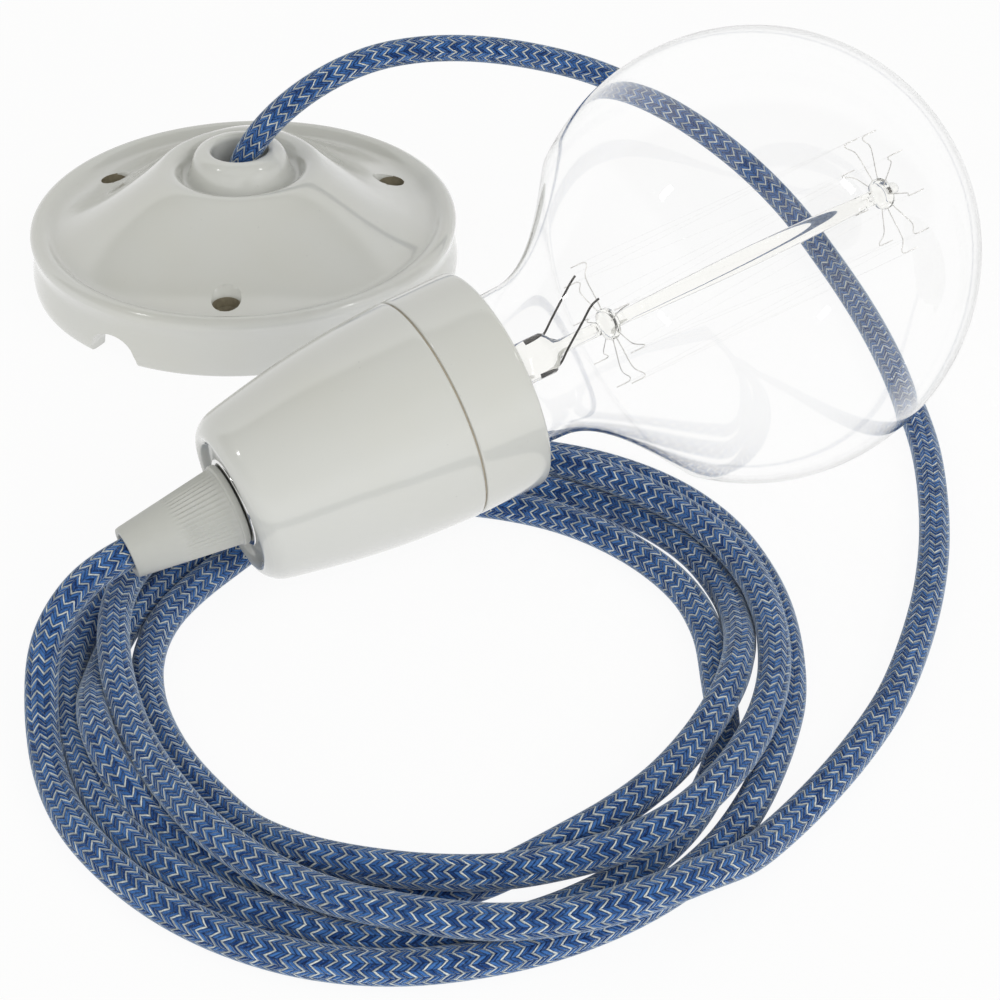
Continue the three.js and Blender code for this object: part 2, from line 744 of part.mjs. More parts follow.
// Centre contact: a springy brass strip under the bulb's tip contact.
function buildCentreContact() {
  const top = capTip - mouthFromGlobe + seatGap;
  const floor = wellFloor - seatGap;
  const strip = new THREE.Shape();
  strip.moveTo(-4.6, floor);
  strip.lineTo(-4.6, floor - 0.5);
  strip.lineTo(2.4, floor - 0.5);
  strip.lineTo(3.6, top + 0.7);
  strip.lineTo(2.6, top + 0.5);
  strip.lineTo(-2.6, top + 0.5);
  strip.lineTo(-2.6, top);
  strip.lineTo(3, top);
  strip.lineTo(4.4, top + 0.6);
  strip.lineTo(2.9, floor);
  const spring = new THREE.ExtrudeGeometry(strip, { depth: 5, bevelEnabled: false });
  spring.translate(0, 0, -2.5).rotateX(Math.PI / 2);
  add(holder, "centre_contact", closed(spring), brass());
  const rivet = bar(contactHole, floor + seatGap, insertRearFace - seatGap, 12);
  add(holder, "contact_rivet", rivet, brass());
}

// Terminals on the back of the insert, one for each core.
const terminalLength = 6.4;
const terminalHeight = 5;

function buildTerminals() {
  const names = ["live_terminal", "neutral_terminal"];
  [-1, 1].forEach((side, i) => {
    const base = insertRearFace + seatGap;
    const body = new THREE.BoxGeometry(terminalLength, 5.4, terminalHeight);
    body.translate(side * terminalPlace, 0, base + terminalHeight / 2);
    const wireHole = bar(coreDiameter / 2 + seatGap, base + 1, base + terminalHeight + 1, 12)
      .translate(side * (terminalPlace - 0.6), 0, 0);
    const screwHole = bar(1.5 + seatGap, 0, 4, 12)
      .rotateY(Math.PI / 2).translate(terminalPlace + 1, 0, base + 2.6);
    if (side < 0) {
      screwHole.rotateZ(Math.PI);
    }
    add(holder, names[i], cut(body, wireHole, screwHole), brass());
    const screw = turned([[0, 0], [1.5, 0], [1.5, 2.2], [0, 2.2]], 12).rotateY(Math.PI / 2);
    screw.translate(terminalPlace + 1.1, 0, base + 2.6);
    if (side < 0) {
      screw.rotateZ(Math.PI);
    }
    add(holder, `terminal_screw_${i + 1}`, screw, steel());
  });
}

// Threaded tube through the dome, its nut inside and the bright washer outside.
const nippleEnd = domeInside - nutThickness - 0.8 + nippleLength;
const gripStart = recessFloor + washerThickness + 2 * seatGap;

function buildNipple() {
  const start = nippleEnd - nippleLength;
  const tube = ringOutline([
    [nippleBore, start], [nippleRadius, start], [nippleRadius, nippleEnd], [nippleBore, nippleEnd],
  ]);
  add(holder, "threaded_tube", turned(tube, 24), steel());
  const hex = new THREE.CylinderGeometry(
    nutAcrossFlats / Math.sqrt(3), nutAcrossFlats / Math.sqrt(3), nutThickness, 6,
  ).rotateX(Math.PI / 2).translate(0, 0, domeInside - seatGap - nutThickness / 2);
  const nut = cut(hex, bar(nippleRadius + seatGap, domeInside - 10, domeInside + 1, 24));
  add(holder, "tube_nut", nut, steel());
  const low = recessFloor + seatGap;
  const washer = ringOutline([
    [nippleHole, low], [washerDiameter / 2 - 0.2, low], [washerDiameter / 2, low + washerThickness / 2],
    [washerDiameter / 2 - 0.2, low + washerThickness], [nippleHole, low + washerThickness],
  ]);
  add(holder, "grip_washer", turned(washer, 24), steel());
}

// Cord grip: a white nylon cone with fine ribs on its base half.
function gripRadiusAt(height) {
  return THREE.MathUtils.lerp(gripBaseRadius - 0.3, gripTipRadius, height / gripLength);
}

function buildGrip() {
  const boreRadius = cordRadius + seatGap + 0.1;
  const ribSides = gripRibs * 2;
  const nippleIn = nippleEnd - gripStart + seatGap;
  const outline = (angle) => {
    const groove = Math.round((angle * ribSides) / (2 * Math.PI)) % 2 ? gripRibDepth : 0;
    const ribStart = gripFlange + 0.5;
    return [
      [nippleHole, 0], [gripBaseRadius - 0.2, 0], [gripBaseRadius, 0.3], [gripBaseRadius, gripFlange - 0.2],
      [gripRadiusAt(gripFlange), gripFlange], [gripRadiusAt(ribStart) - groove, ribStart],
      [gripRadiusAt(gripRibbedLength) - groove, gripRibbedLength],
      [gripRadiusAt(gripRibbedLength + 0.8), gripRibbedLength + 0.8],
      [gripTipRadius + 0.1, gripLength - 0.6], [gripTipRadius - 0.5, gripLength],
      [boreRadius + 0.3, gripLength], [boreRadius, gripLength - 0.5],
      [boreRadius, nippleIn + 1.6], [nippleHole, nippleIn],
    ];
  };
  const grip = shapedRing(ribSides, outline);
  add(holder, "cord_grip", grip, nylon()).position.z = gripStart;
}

// The cores inside the holder, from the cord's end to the two terminals.
const cordInHolder = nippleEnd - nippleLength - 0.6;

function buildHolderCores() {
  const terminalTop = insertRearFace + seatGap + terminalHeight;
  const colours = [0x6b3f24, 0x2b5fa8];
  const names = ["holder_core_brown", "holder_core_blue"];
  [-1, 1].forEach((side, i) => {
    const inTerminal = side * (terminalPlace - 0.6);
    const path = smoothPath([
      point(side * 1.4, 0, cordInHolder - 2 * seatGap), point(side * 1.6, 0, cordInHolder - 1.6),
      point(inTerminal * 0.7, 0, cordInHolder - 3.4), point(inTerminal, 0, terminalTop),
      point(inTerminal, 0, terminalTop - 2.6),
    ]);
    add(holder, names[i], swept(path, coreDiameter / 2, 6, 7), finish(colours[i], 0.45));
  });
}

// Cord from the rose to the coil, seen from above with the rose's middle at
// zero: up out of the hub, over in one stiff arch behind the globe, down on the
// surface, and round in front to the side of the coil.
const cordFromRose = [
  [-1.6, 0, 9], [-1.6, 0, 18], [-0.8, 0.1, 24.8], [2.2, 0.5, 31.8], [7.3, 1.4, 38.4], [14.9, 3.6, 44.6],
  [24.3, 7.8, 48.9], [33.7, 11.4, 51.1], [43.2, 14, 51.7], [52.8, 16.8, 50.8], [62.4, 20.4, 48.4], [72.2, 24.9, 44.6],
  [82.2, 29.6, 39.8], [92.5, 33, 34.2], [102.7, 34.3, 28.2], [113.3, 32.9, 21.6], [124.7, 27.3, 14.4],
  [134.7, 15.9, 8.4], [142.3, -1.7, 4.4], [148.1, -23.7, 3.2], [151.7, -45, 3.2], [154.1, -67.7, 3.2],
  [154.9, -84.7, 3.2], [154.1, -100.7, 3.2], [151.9, -118.7, 3.2], [148.3, -135.7, 3.2], [143.1, -152.7, 3.2],
  [136.7, -168.7, 3.2], [129.5, -181.7, 3.2], [120.7, -194.7, 3.2], [111.3, -206.3, 3.2],
];

function buildCord() {
  const run = smoothPath(cordFromRose.map(([x, y, z]) => point(x, y, z)));
  add(layout, "cord_run", swept(run, cordRadius, 8, 40), braid());
}

// Coil: the outer shape of the loose turns, lower on the inside where the
// holder lies over them.
function buildCoil() {
  const inner = coilInnerRadius;
  const outer = coilOuterRadius;
  const topStart = outer - 4 - coilTopWidth;
  const low = cordDiameter;
  const outline = ringOutline([
    [inner + 2, 0], [outer - 2, 0], [outer, 1.6], [outer, low - 1], [outer - 1, low + 2],
    [outer - 4, coilHeight], [topStart, coilHeight], [topStart - 2.4, coilHeight - 1.6],
    [inner + 1, low - 1], [inner, low - 2.6], [inner, 1.6],
  ]);
  add(layout, "cord_coil", turned(outline, 30), braid()).position.set(coilX, coilY, 0);
}

// Cord from the coil into the grip and the holder.
function buildCordEnd() {
  const tip = mouthFromGlobe + gripStart + gripLength;
  lamp.updateWorldMatrix(true, false);
  const inLamp = (z) => point(0, 0, z).applyMatrix4(lamp.matrixWorld);
  const over = coilHeight + cordRadius + seatGap + 0.2;
  const overCoil = (radius, angle, z) =>
    point(coilX + radius * Math.cos(degrees(angle)), coilY + radius * Math.sin(degrees(angle)), z);
  const path = smoothPath([
    inLamp(mouthFromGlobe + cordInHolder), inLamp(mouthFromGlobe + nippleEnd - 8),
    inLamp(tip - 6), inLamp(tip), inLamp(tip + 7),
    overCoil(coilOuterRadius - 3, 171.2, over + 1.2), overCoil(coilOuterRadius - 1.3, 179.2, over),
  ]);
  add(layout, "cord_end", swept(path, cordRadius, 8, 14), braid());
}

buildRose();
buildClamp();
buildTerminalBlock();
buildRoseCores();
buildCord();
buildCoil();
buildCordEnd();
buildGrip();
buildNipple();
buildDome();
buildSkirt();
buildInsert();
buildScrewShell();
buildCentreContact();
buildTerminals();
buildHolderCores();
buildEnvelope();
buildCap();
buildStem();
buildHooks();
buildLeads();
buildFilament();

// The origin goes under the middle of the pieces that are not cord.
const cordPieces = ["cord_run", "cord_coil", "cord_end"];
const rigidBox = new THREE.Box3();
layout.updateMatrixWorld(true);
layout.traverse((mesh) => {
  if (mesh.isMesh && !cordPieces.includes(mesh.name)) {
    rigidBox.expandByObject(mesh, true);
  }
});
const middle = rigidBox.getCenter(new THREE.Vector3());
layout.position.set(-middle.x, -middle.y, -rigidBox.min.z);

const part = new THREE.Group();
part.add(layout);
export default part;
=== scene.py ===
# A pendant light laid out on a table: a porcelain ceiling rose, a blue braided
# cord in a loose coil, and a porcelain lampholder with a clear globe bulb.

import math

import bpy
import numpy as np
from mathutils import Matrix, Vector


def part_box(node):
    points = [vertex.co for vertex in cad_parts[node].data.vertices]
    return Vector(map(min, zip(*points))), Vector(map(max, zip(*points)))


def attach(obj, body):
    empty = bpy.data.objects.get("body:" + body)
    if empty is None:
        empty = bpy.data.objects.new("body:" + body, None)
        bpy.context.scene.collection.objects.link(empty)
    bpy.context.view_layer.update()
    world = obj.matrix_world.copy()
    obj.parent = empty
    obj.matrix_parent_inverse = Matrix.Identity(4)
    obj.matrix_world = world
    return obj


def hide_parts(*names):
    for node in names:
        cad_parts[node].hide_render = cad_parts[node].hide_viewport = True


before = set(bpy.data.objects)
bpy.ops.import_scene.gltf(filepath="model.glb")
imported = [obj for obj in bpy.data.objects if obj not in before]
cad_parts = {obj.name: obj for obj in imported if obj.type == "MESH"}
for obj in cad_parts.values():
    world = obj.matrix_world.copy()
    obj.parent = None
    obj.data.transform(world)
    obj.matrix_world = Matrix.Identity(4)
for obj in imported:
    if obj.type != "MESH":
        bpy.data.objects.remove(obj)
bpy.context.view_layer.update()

mm = 0.001

# The camera and the lamps. One wide softbox stands in front of the set on the
# right, two small lamps leave the bright marks on the glaze, and the camera
# looks down on the set from the front, as in the photograph.
camera_place, camera_tilt = (7.35 * mm, -468.6 * mm, 295.4 * mm), math.radians(54.75)
camera_data = bpy.data.cameras.new("camera")
camera_data.lens = 86.4
camera_data.sensor_width = 36
camera = bpy.data.objects.new("camera", camera_data)
camera.location = camera_place
camera.rotation_euler = (camera_tilt, 0, 0)
bpy.context.scene.collection.objects.link(camera)
bpy.context.scene.camera = camera
bpy.context.scene.view_settings.view_transform = "Standard"


def hang_softbox(name, place, width, depth, watts):
    """An area lamp at a place in metres, facing the middle of the table."""
    lamp_data = bpy.data.lights.new(name, "AREA")
    lamp_data.shape = "RECTANGLE"
    lamp_data.size, lamp_data.size_y, lamp_data.energy = width, depth, watts
    softbox = bpy.data.objects.new(name, lamp_data)
    softbox.location = place
    softbox.rotation_euler = (-Vector(place)).to_track_quat("-Z", "Y").to_euler()
    bpy.context.scene.collection.objects.link(softbox)
    return softbox


wide_softbox = hang_softbox("wide_softbox", (0.78, -1.07, 0.88), width=0.9, depth=0.9, watts=6.3)
wide_softbox.visible_glossy = False
wide_softbox.visible_transmission = False
for name, side in (("left_lamp", -1), ("right_lamp", 1)):
    hang_softbox(name, (side * 0.85, -0.35, 0.95), width=0.07, depth=0.16, watts=0.6)


def calc(tree, operation, *values):
    """One Math node. A value is a number or another node's output."""
    node = tree.nodes.new("ShaderNodeMath")
    node.operation = operation
    for socket, value in zip(node.inputs, values):
        if isinstance(value, (int, float)):
            socket.default_value = value
        else:
            tree.links.new(value, socket)
    return node.outputs[0]


def soft_step(tree, value, low, high):
    """0 below low, 1 above high and a smooth ramp between them."""
    node = tree.nodes.new("ShaderNodeMapRange")
    node.interpolation_type = "SMOOTHSTEP"
    node.inputs["From Min"].default_value = low
    node.inputs["From Max"].default_value = high
    tree.links.new(value, node.inputs["Value"])
    return node.outputs["Result"]


def link_white_view(tree, shade, share, share_for_light=0.0, mirrored=1.0):
    """Mixes plain white into a shader: one share for what the camera, gloss and
    glass see, and another for the light that the surface gives."""
    rays = tree.nodes.new("ShaderNodeLightPath")
    gloss = calc(tree, "MULTIPLY", rays.outputs["Is Glossy Ray"], mirrored)
    seen = calc(tree, "MAXIMUM", rays.outputs["Is Camera Ray"], gloss)
    seen = calc(tree, "MAXIMUM", seen, rays.outputs["Is Transmission Ray"])
    part = calc(tree, "MAXIMUM", calc(tree, "MULTIPLY", seen, share), share_for_light)
    white = tree.nodes.new("ShaderNodeEmission")
    mix = tree.nodes.new("ShaderNodeMixShader")
    tree.links.new(part, mix.inputs[0])
    tree.links.new(shade, mix.inputs[1])
    tree.links.new(white.outputs[0], mix.inputs[2])
    return mix.outputs[0]


# The room is dim overhead and brighter low in front. The glaze mirrors the white
# sweep that stands behind, up to its upper edge, and the white low all round.
room_level, front_glow, gloss_dimming = 0.56, 0.8, 0.65
world = bpy.data.worlds.new("studio")
world.use_nodes = True
bpy.context.scene.world = world
room = world.node_tree
sky = room.nodes["Background"]
sky.inputs["Color"].default_value = (1, 1, 0.95, 1)
look = room.nodes.new("ShaderNodeTexCoord")
heading = room.nodes.new("ShaderNodeSeparateXYZ")
room.links.new(look.outputs["Generated"], heading.inputs[0])
in_front = soft_step(room, calc(room, "MULTIPLY", heading.outputs[1], -1), 0.4, 1.0)
level = calc(room, "ADD", room_level, calc(room, "MULTIPLY", in_front, front_glow))
gloss_ray = room.nodes.new("ShaderNodeLightPath").outputs["Is Glossy Ray"]
dim_for_gloss = calc(room, "SUBTRACT", 1, calc(room, "MULTIPLY", gloss_ray, gloss_dimming))
room.links.new(calc(room, "MULTIPLY", level, dim_for_gloss), sky.inputs["Strength"])
behind = soft_step(room, heading.outputs[1], 0.26, 0.42)
high_up = soft_step(room, heading.outputs[2], 0.0, 0.5)
on_sweep = calc(room, "MAXIMUM", behind, calc(room, "SUBTRACT", 1, high_up))
room_end = room.nodes["World Output"]
room.links.new(link_white_view(room, sky.outputs[0], 1.0, 0.0, on_sweep), room_end.inputs[0])

# The table top: a plain white sheet of paper, three metres out to each side. The
# set's soft shadow shows on it through the white that it gives by itself.
paper_reach, white_seen, white_given = 3, 0.93, 0.88
floor_mesh = bpy.data.meshes.new("table_top")
floor_corners = [(x * paper_reach, y * paper_reach, 0) for x, y in ((-1, -1), (1, -1), (1, 1), (-1, 1))]
floor_mesh.from_pydata(floor_corners, [], [(0, 1, 2, 3)])
table_top = bpy.data.objects.new("table_top", floor_mesh)
bpy.context.scene.collection.objects.link(table_top)
paper = bpy.data.materials.new("white_paper")
paper.use_nodes = True
paper_tree = paper.node_tree
sheet = paper_tree.nodes["Principled BSDF"]
sheet.inputs["Base Color"].default_value = (0.88, 0.88, 0.88, 1)
sheet.inputs["Roughness"].default_value = 0.9
white_view = link_white_view(paper_tree, sheet.outputs[0], white_seen, white_given)
paper_tree.links.new(white_view, paper_tree.nodes["Material Output"].inputs[0])
floor_mesh.materials.append(paper)

# The cord: two insulated cores under a braided cotton cover, 6.3 mm thick, blue
# with a linen-coloured yarn that zigzags round it. It stands up out of the
# rose, falls behind the globe, and winds in four and a half loose turns.
cord_radius, cord_sides, cord_spacing = 3.15, 26, 1.2
cover_columns = 16
rows_start, rows_end, rows_even = 3.2, 2.55, 430

rose_low, rose_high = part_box("ceiling_rose")
rose_x = (rose_low.x + rose_high.x) / 2 / mm
rose_y = (rose_low.y + rose_high.y) / 2 / mm
coil_x, coil_y = rose_x + 47.4, rose_y - 164.2

# The first stops are places seen from the rose's middle, up through its hub,
# over in an arch and down to the table, where the cord lies 3.2 mm high.
cord_from_rose = (
    (-1.6, 0, 9), (-1.6, 0, 18), (-0.8, 0.1, 24.8), (2.2, 0.5, 31.8), (7.3, 1.4, 38.4),
    (14.9, 3.6, 44.6), (24.3, 7.8, 48.9), (33.7, 11.4, 51.1), (43.2, 14, 51.7), (52.8, 16.8, 50.8),
    (62.4, 20.4, 48.4), (72.2, 24.9, 44.6), (82.2, 29.6, 39.8), (92.5, 33, 34.2), (102.7, 34.3, 28.2),
    (113.3, 32.9, 21.6), (124.7, 27.3, 14.4), (134.7, 15.9, 8.4), (142.3, -1.7, 4.4), (148.1, -23.7, 3.2),
    (151.7, -45, 3.2), (154.1, -67.7, 3.2), (154.9, -84.7, 3.2), (154.1, -100.7, 3.2), (151.9, -118.7, 3.2),
    (148.3, -135.7, 3.2), (143.1, -152.7, 3.2), (136.7, -168.7, 3.2), (129.5, -181.7, 3.2), (120.7, -194.7, 3.2),
    (111.3, -206.3, 3.2),
)

# Each stop of the coil is its angle seen from above, which falls as the cord
# goes round clockwise, its distance from the coil's middle, and its height.
coil_turns = (
    (
        (-41, 76.2, 5), (-48, 75.6, 7.6), (-56, 75, 9), (-66, 74, 9.5), (-78, 71.5, 9.5),
        (-91, 67.5, 9.4), (-104, 64.5, 9.2), (-116, 61.5, 9.2), (-128, 59, 9.4), (-140, 56.5, 8.8),
        (-151, 55.6, 8.3), (-163, 55.7, 8.4), (-175, 57, 9.2), (-185, 59, 9.7), (-195, 61.5, 9.5),
        (-205, 63.8, 9), (-217, 65, 8.8), (-231, 66.5, 8.8), (-246, 68, 8.8), (-261, 69.5, 9),
        (-276, 70.5, 9), (-290, 71, 9.2), (-305, 70.7, 9.2), (-320, 71, 8.8), (-335, 70.3, 8.6),
        (-348, 68.5, 8.6),
    ),
    (
        (0, 67, 8.6), (-10, 66, 8.7), (-20, 65, 8.8), (-31, 64.3, 9), (-44, 63.8, 9.2),
        (-56, 62.5, 9.2), (-66, 61, 9.3), (-75, 60, 9.4), (-85, 58.5, 9.5), (-95, 57, 9.2),
        (-106, 55.2, 8), (-116, 53, 6), (-126, 50.7, 3.7), (-138, 49.2, 3.2), (-154, 49.4, 3.2),
        (-172, 51.2, 3.2), (-187, 53.2, 3.2), (-200, 54.4, 3.2), (-212, 54.6, 3.2),
        (-224, 54.6, 4), (-234, 55, 6), (-243, 56.4, 7.9), (-252, 58.6, 8.6), (-261, 60.8, 8.8),
        (-270, 62.8, 8.3), (-279, 64.8, 6.6), (-288, 67, 4.6), (-298, 68.6, 3.4), (-309, 69, 3.2),
        (-322, 68.3, 3.2), (-335, 66, 3.4), (-345, 63.5, 5), (-353, 61.6, 7.1),
    ),
    (
        (0, 60, 8.4), (-8, 58.5, 9.3), (-16, 57, 9.4), (-26, 55.8, 9.2), (-38, 55, 8.6),
        (-51, 55, 8.4), (-62, 55.3, 7.6), (-71, 55.5, 5.4), (-79, 56.3, 3.7), (-88, 57.5, 3.2),
        (-98, 58.5, 3.2), (-108, 59.4, 3.2), (-120, 60.1, 3.2), (-132, 60.5, 3.3),
        (-140, 60.8, 4.4), (-147, 61.3, 6.2), (-155, 61.8, 7.9), (-163, 61.9, 8.1),
        (-171, 61.7, 6.3), (-178, 61.3, 4.4), (-186, 61, 3.3), (-197, 60.9, 3.2),
        (-209, 60.8, 3.2), (-222, 60.9, 3.2), (-236, 61, 3.2), (-250, 60.7, 3.2),
        (-265, 60.2, 3.2), (-281, 60, 3.2), (-298, 60, 3.2), (-315, 59.5, 3.2), (-331, 59, 3.2),
        (-345, 57.6, 3.2),
    ),
    (
        (0, 56.4, 3.2), (-8, 57.2, 3.2), (-16, 58.6, 3.2), (-26, 60.2, 3.2), (-38, 62, 3.2),
        (-50, 63.6, 3.2), (-62, 65.2, 3.2), (-75, 66.6, 3.2), (-88, 67.8, 3.2), (-100, 67.9, 3.2),
        (-112, 66.7, 3.2), (-125, 66.4, 3.2), (-138, 66.4, 3.2), (-150, 66, 3.2),
        (-160, 65.4, 3.2), (-170, 66.3, 3.2), (-180, 67.4, 3.2), (-192, 67.8, 3.2),
        (-205, 68.3, 3.2), (-220, 69.5, 3.2), (-235, 71.5, 3.2), (-250, 74, 3.2), (-265, 77, 3.2),
        (-280, 79.8, 3.2), (-295, 81.3, 3.2), (-308, 81.2, 3.2), (-320, 79.3, 3.2),
        (-332, 76, 3.2), (-345, 72.8, 3.2),
    ),
    (
        (-3, 70, 3.2), (-12, 69, 3.2), (-21, 68.7, 3.2), (-31, 69.3, 3.2), (-41, 70.4, 3.2),
        (-51, 71.3, 3.2), (-63, 72, 3.2), (-76, 72.9, 3.2), (-91, 74.1, 3.2), (-104, 74.4, 3.2),
        (-117, 73.8, 3.2), (-130, 73, 3.2), (-145, 72.4, 3.2), (-157, 71.7, 3.3),
        (-166, 71.3, 4.7), (-172.5, 71.1, 7.5), (-178.3, 70.8, 10.9), (-183.6, 69.4, 14.2),
        (-190.9, 65.6, 17.7),
    ),
)

# The holder's own line runs from the middle of the globe to the end of the grip.
globe_x, globe_y, globe_z = rose_x + 114.7, rose_y - 78.8, 47.5
holder_heading, holder_tilt = math.radians(208.4), math.radians(11)
into_lamp = (
    Matrix.Translation((globe_x, globe_y, globe_z))
    @ Matrix.Rotation(holder_heading, 4, "Z")
    @ Matrix.Rotation(math.pi / 2 + holder_tilt, 4, "Y")
)
grip_tip = 143.9
cord_in_holder = (grip_tip, 137, 128, 119, 110.5)


def cord_stops():
    """All the cord's stops, from inside the rose to inside the holder."""
    stops = [Vector((rose_x + x, rose_y + y, z)) for x, y, z in cord_from_rose]
    for turn in coil_turns:
        for angle, away, height in turn:
            swing = math.radians(angle)
            x, y = coil_x + away * math.cos(swing), coil_y + away * math.sin(swing)
            stops.append(Vector((x, y, height)))
    stops += [into_lamp @ Vector((0, 0, s)) for s in cord_in_holder]
    return np.array(stops)


def smooth_line(stops, spacing):
    """An even line of points on the curve through the stops, without kinks."""
    stops = np.array(stops, float)
    ends = np.vstack([2 * stops[0] - stops[1], stops, 2 * stops[-1] - stops[-2]])
    points = []
    for i in range(1, len(ends) - 2):
        p = ends[i - 1:i + 3]
        t = np.r_[0, np.cumsum(np.linalg.norm(np.diff(p, axis=0), axis=1) ** 0.5)]
        count = max(4, int(np.linalg.norm(p[2] - p[1]) / spacing * 2))
        u = np.linspace(t[1], t[2], count, endpoint=False)[:, None]
        a = [((t[k + 1] - u) * p[k] + (u - t[k]) * p[k + 1]) / (t[k + 1] - t[k]) for k in range(3)]
        b = [((t[k + 2] - u) * a[k] + (u - t[k]) * a[k + 1]) / (t[k + 2] - t[k]) for k in range(2)]
        points.extend(((t[2] - u) * b[0] + (u - t[1]) * b[1]) / (t[2] - t[1]))
    points = np.array(points + [stops[-1]])
    run = np.r_[0, np.cumsum(np.linalg.norm(np.diff(points, axis=0), axis=1))]
    places = np.linspace(0, run[-1], max(3, round(run[-1] / spacing) + 1))
    line = np.column_stack([np.interp(places, run, points[:, k]) for k in range(3)])
    for _ in range(6):
        line[1:-1] = 0.5 * line[1:-1] + 0.25 * (line[:-2] + line[2:])
    return line


def make_piece(name, corners, faces, finish, sharp=40):
    """A mesh object from corners in millimetres, in the set's own frame."""
    mesh = bpy.data.meshes.new(name)
    mesh.from_pydata([tuple(float(x) * mm for x in c) for c in corners], [], faces)
    mesh.materials.append(finish)
    mesh.shade_smooth()
    mesh.set_sharp_from_angle(angle=math.radians(sharp))
    piece = bpy.data.objects.new(name, mesh)
    bpy.context.scene.collection.objects.link(piece)
    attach(piece, "root")
    return piece


def tube_round(line, radius, sides):
    """Corners and faces of a round tube along a line, closed at both ends."""
    along = np.gradient(line, axis=0)
    along /= np.linalg.norm(along, axis=1)[:, None]
    side = np.cross(along[0], (0.3, 0.2, 1.0))
    corners, faces = [], []
    for i, middle in enumerate(line):
        side = side - along[i] * np.dot(side, along[i])
        side /= np.linalg.norm(side)
        up = np.cross(along[i], side)
        for k in range(sides):
            swing = 2 * math.pi * k / sides
            corners.append(middle + radius * (math.cos(swing) * side + math.sin(swing) * up))
        if i:
            base = (i - 1) * sides
            for k in range(sides):
                j = (k + 1) % sides
                faces.append((base + k, base + j, base + sides + j, base + sides + k))
    last = (len(line) - 1) * sides
    faces.append(tuple(range(sides))[::-1])
    faces.append(tuple(range(last, last + sides)))
    return corners, faces


def blend_colours(tree, share, first, second):
    """A Mix node for colours. Each colour is three numbers or an output."""
    node = tree.nodes.new("ShaderNodeMix")
    node.data_type = "RGBA"
    tree.links.new(share, node.inputs["Factor"])
    for socket, value in zip((node.inputs[6], node.inputs[7]), (first, second)):
        if isinstance(value, tuple):
            socket.default_value = (*value, 1)
        else:
            tree.links.new(value, socket)
    return node.outputs[2]


def add_bump(tree, shader, height, depth, strength=1.0):
    """Fine relief, with a depth in millimetres."""
    bump = tree.nodes.new("ShaderNodeBump")
    bump.inputs["Distance"].default_value = depth * mm
    bump.inputs["Strength"].default_value = strength
    tree.links.new(height, bump.inputs["Height"])
    tree.links.new(bump.outputs[0], shader.inputs["Normal"])


def speckle(tree, per_mm, detail=3.0, stretch=(1, 1, 1)):
    """Fine noise fixed to the piece, with so many spots to the millimetre."""
    place = tree.nodes.new("ShaderNodeTexCoord")
    scale = tree.nodes.new("ShaderNodeMapping")
    scale.inputs["Scale"].default_value = stretch
    noise = tree.nodes.new("ShaderNodeTexNoise")
    noise.inputs["Scale"].default_value = per_mm / mm
    noise.inputs["Detail"].default_value = detail
    tree.links.new(place.outputs["Object"], scale.inputs["Vector"])
    tree.links.new(scale.outputs[0], noise.inputs["Vector"])
    return noise.outputs["Fac"]


def new_finish(name, colour, roughness, metallic=0.0):
    """A material with its constant values set on the shader itself."""
    finish = bpy.data.materials.new(name)
    finish.use_nodes = True
    shader = finish.node_tree.nodes["Principled BSDF"]
    shader.inputs["Base Color"].default_value = (*colour, 1)
    shader.inputs["Roughness"].default_value = roughness
    shader.inputs["Metallic"].default_value = metallic
    return finish, finish.node_tree, shader


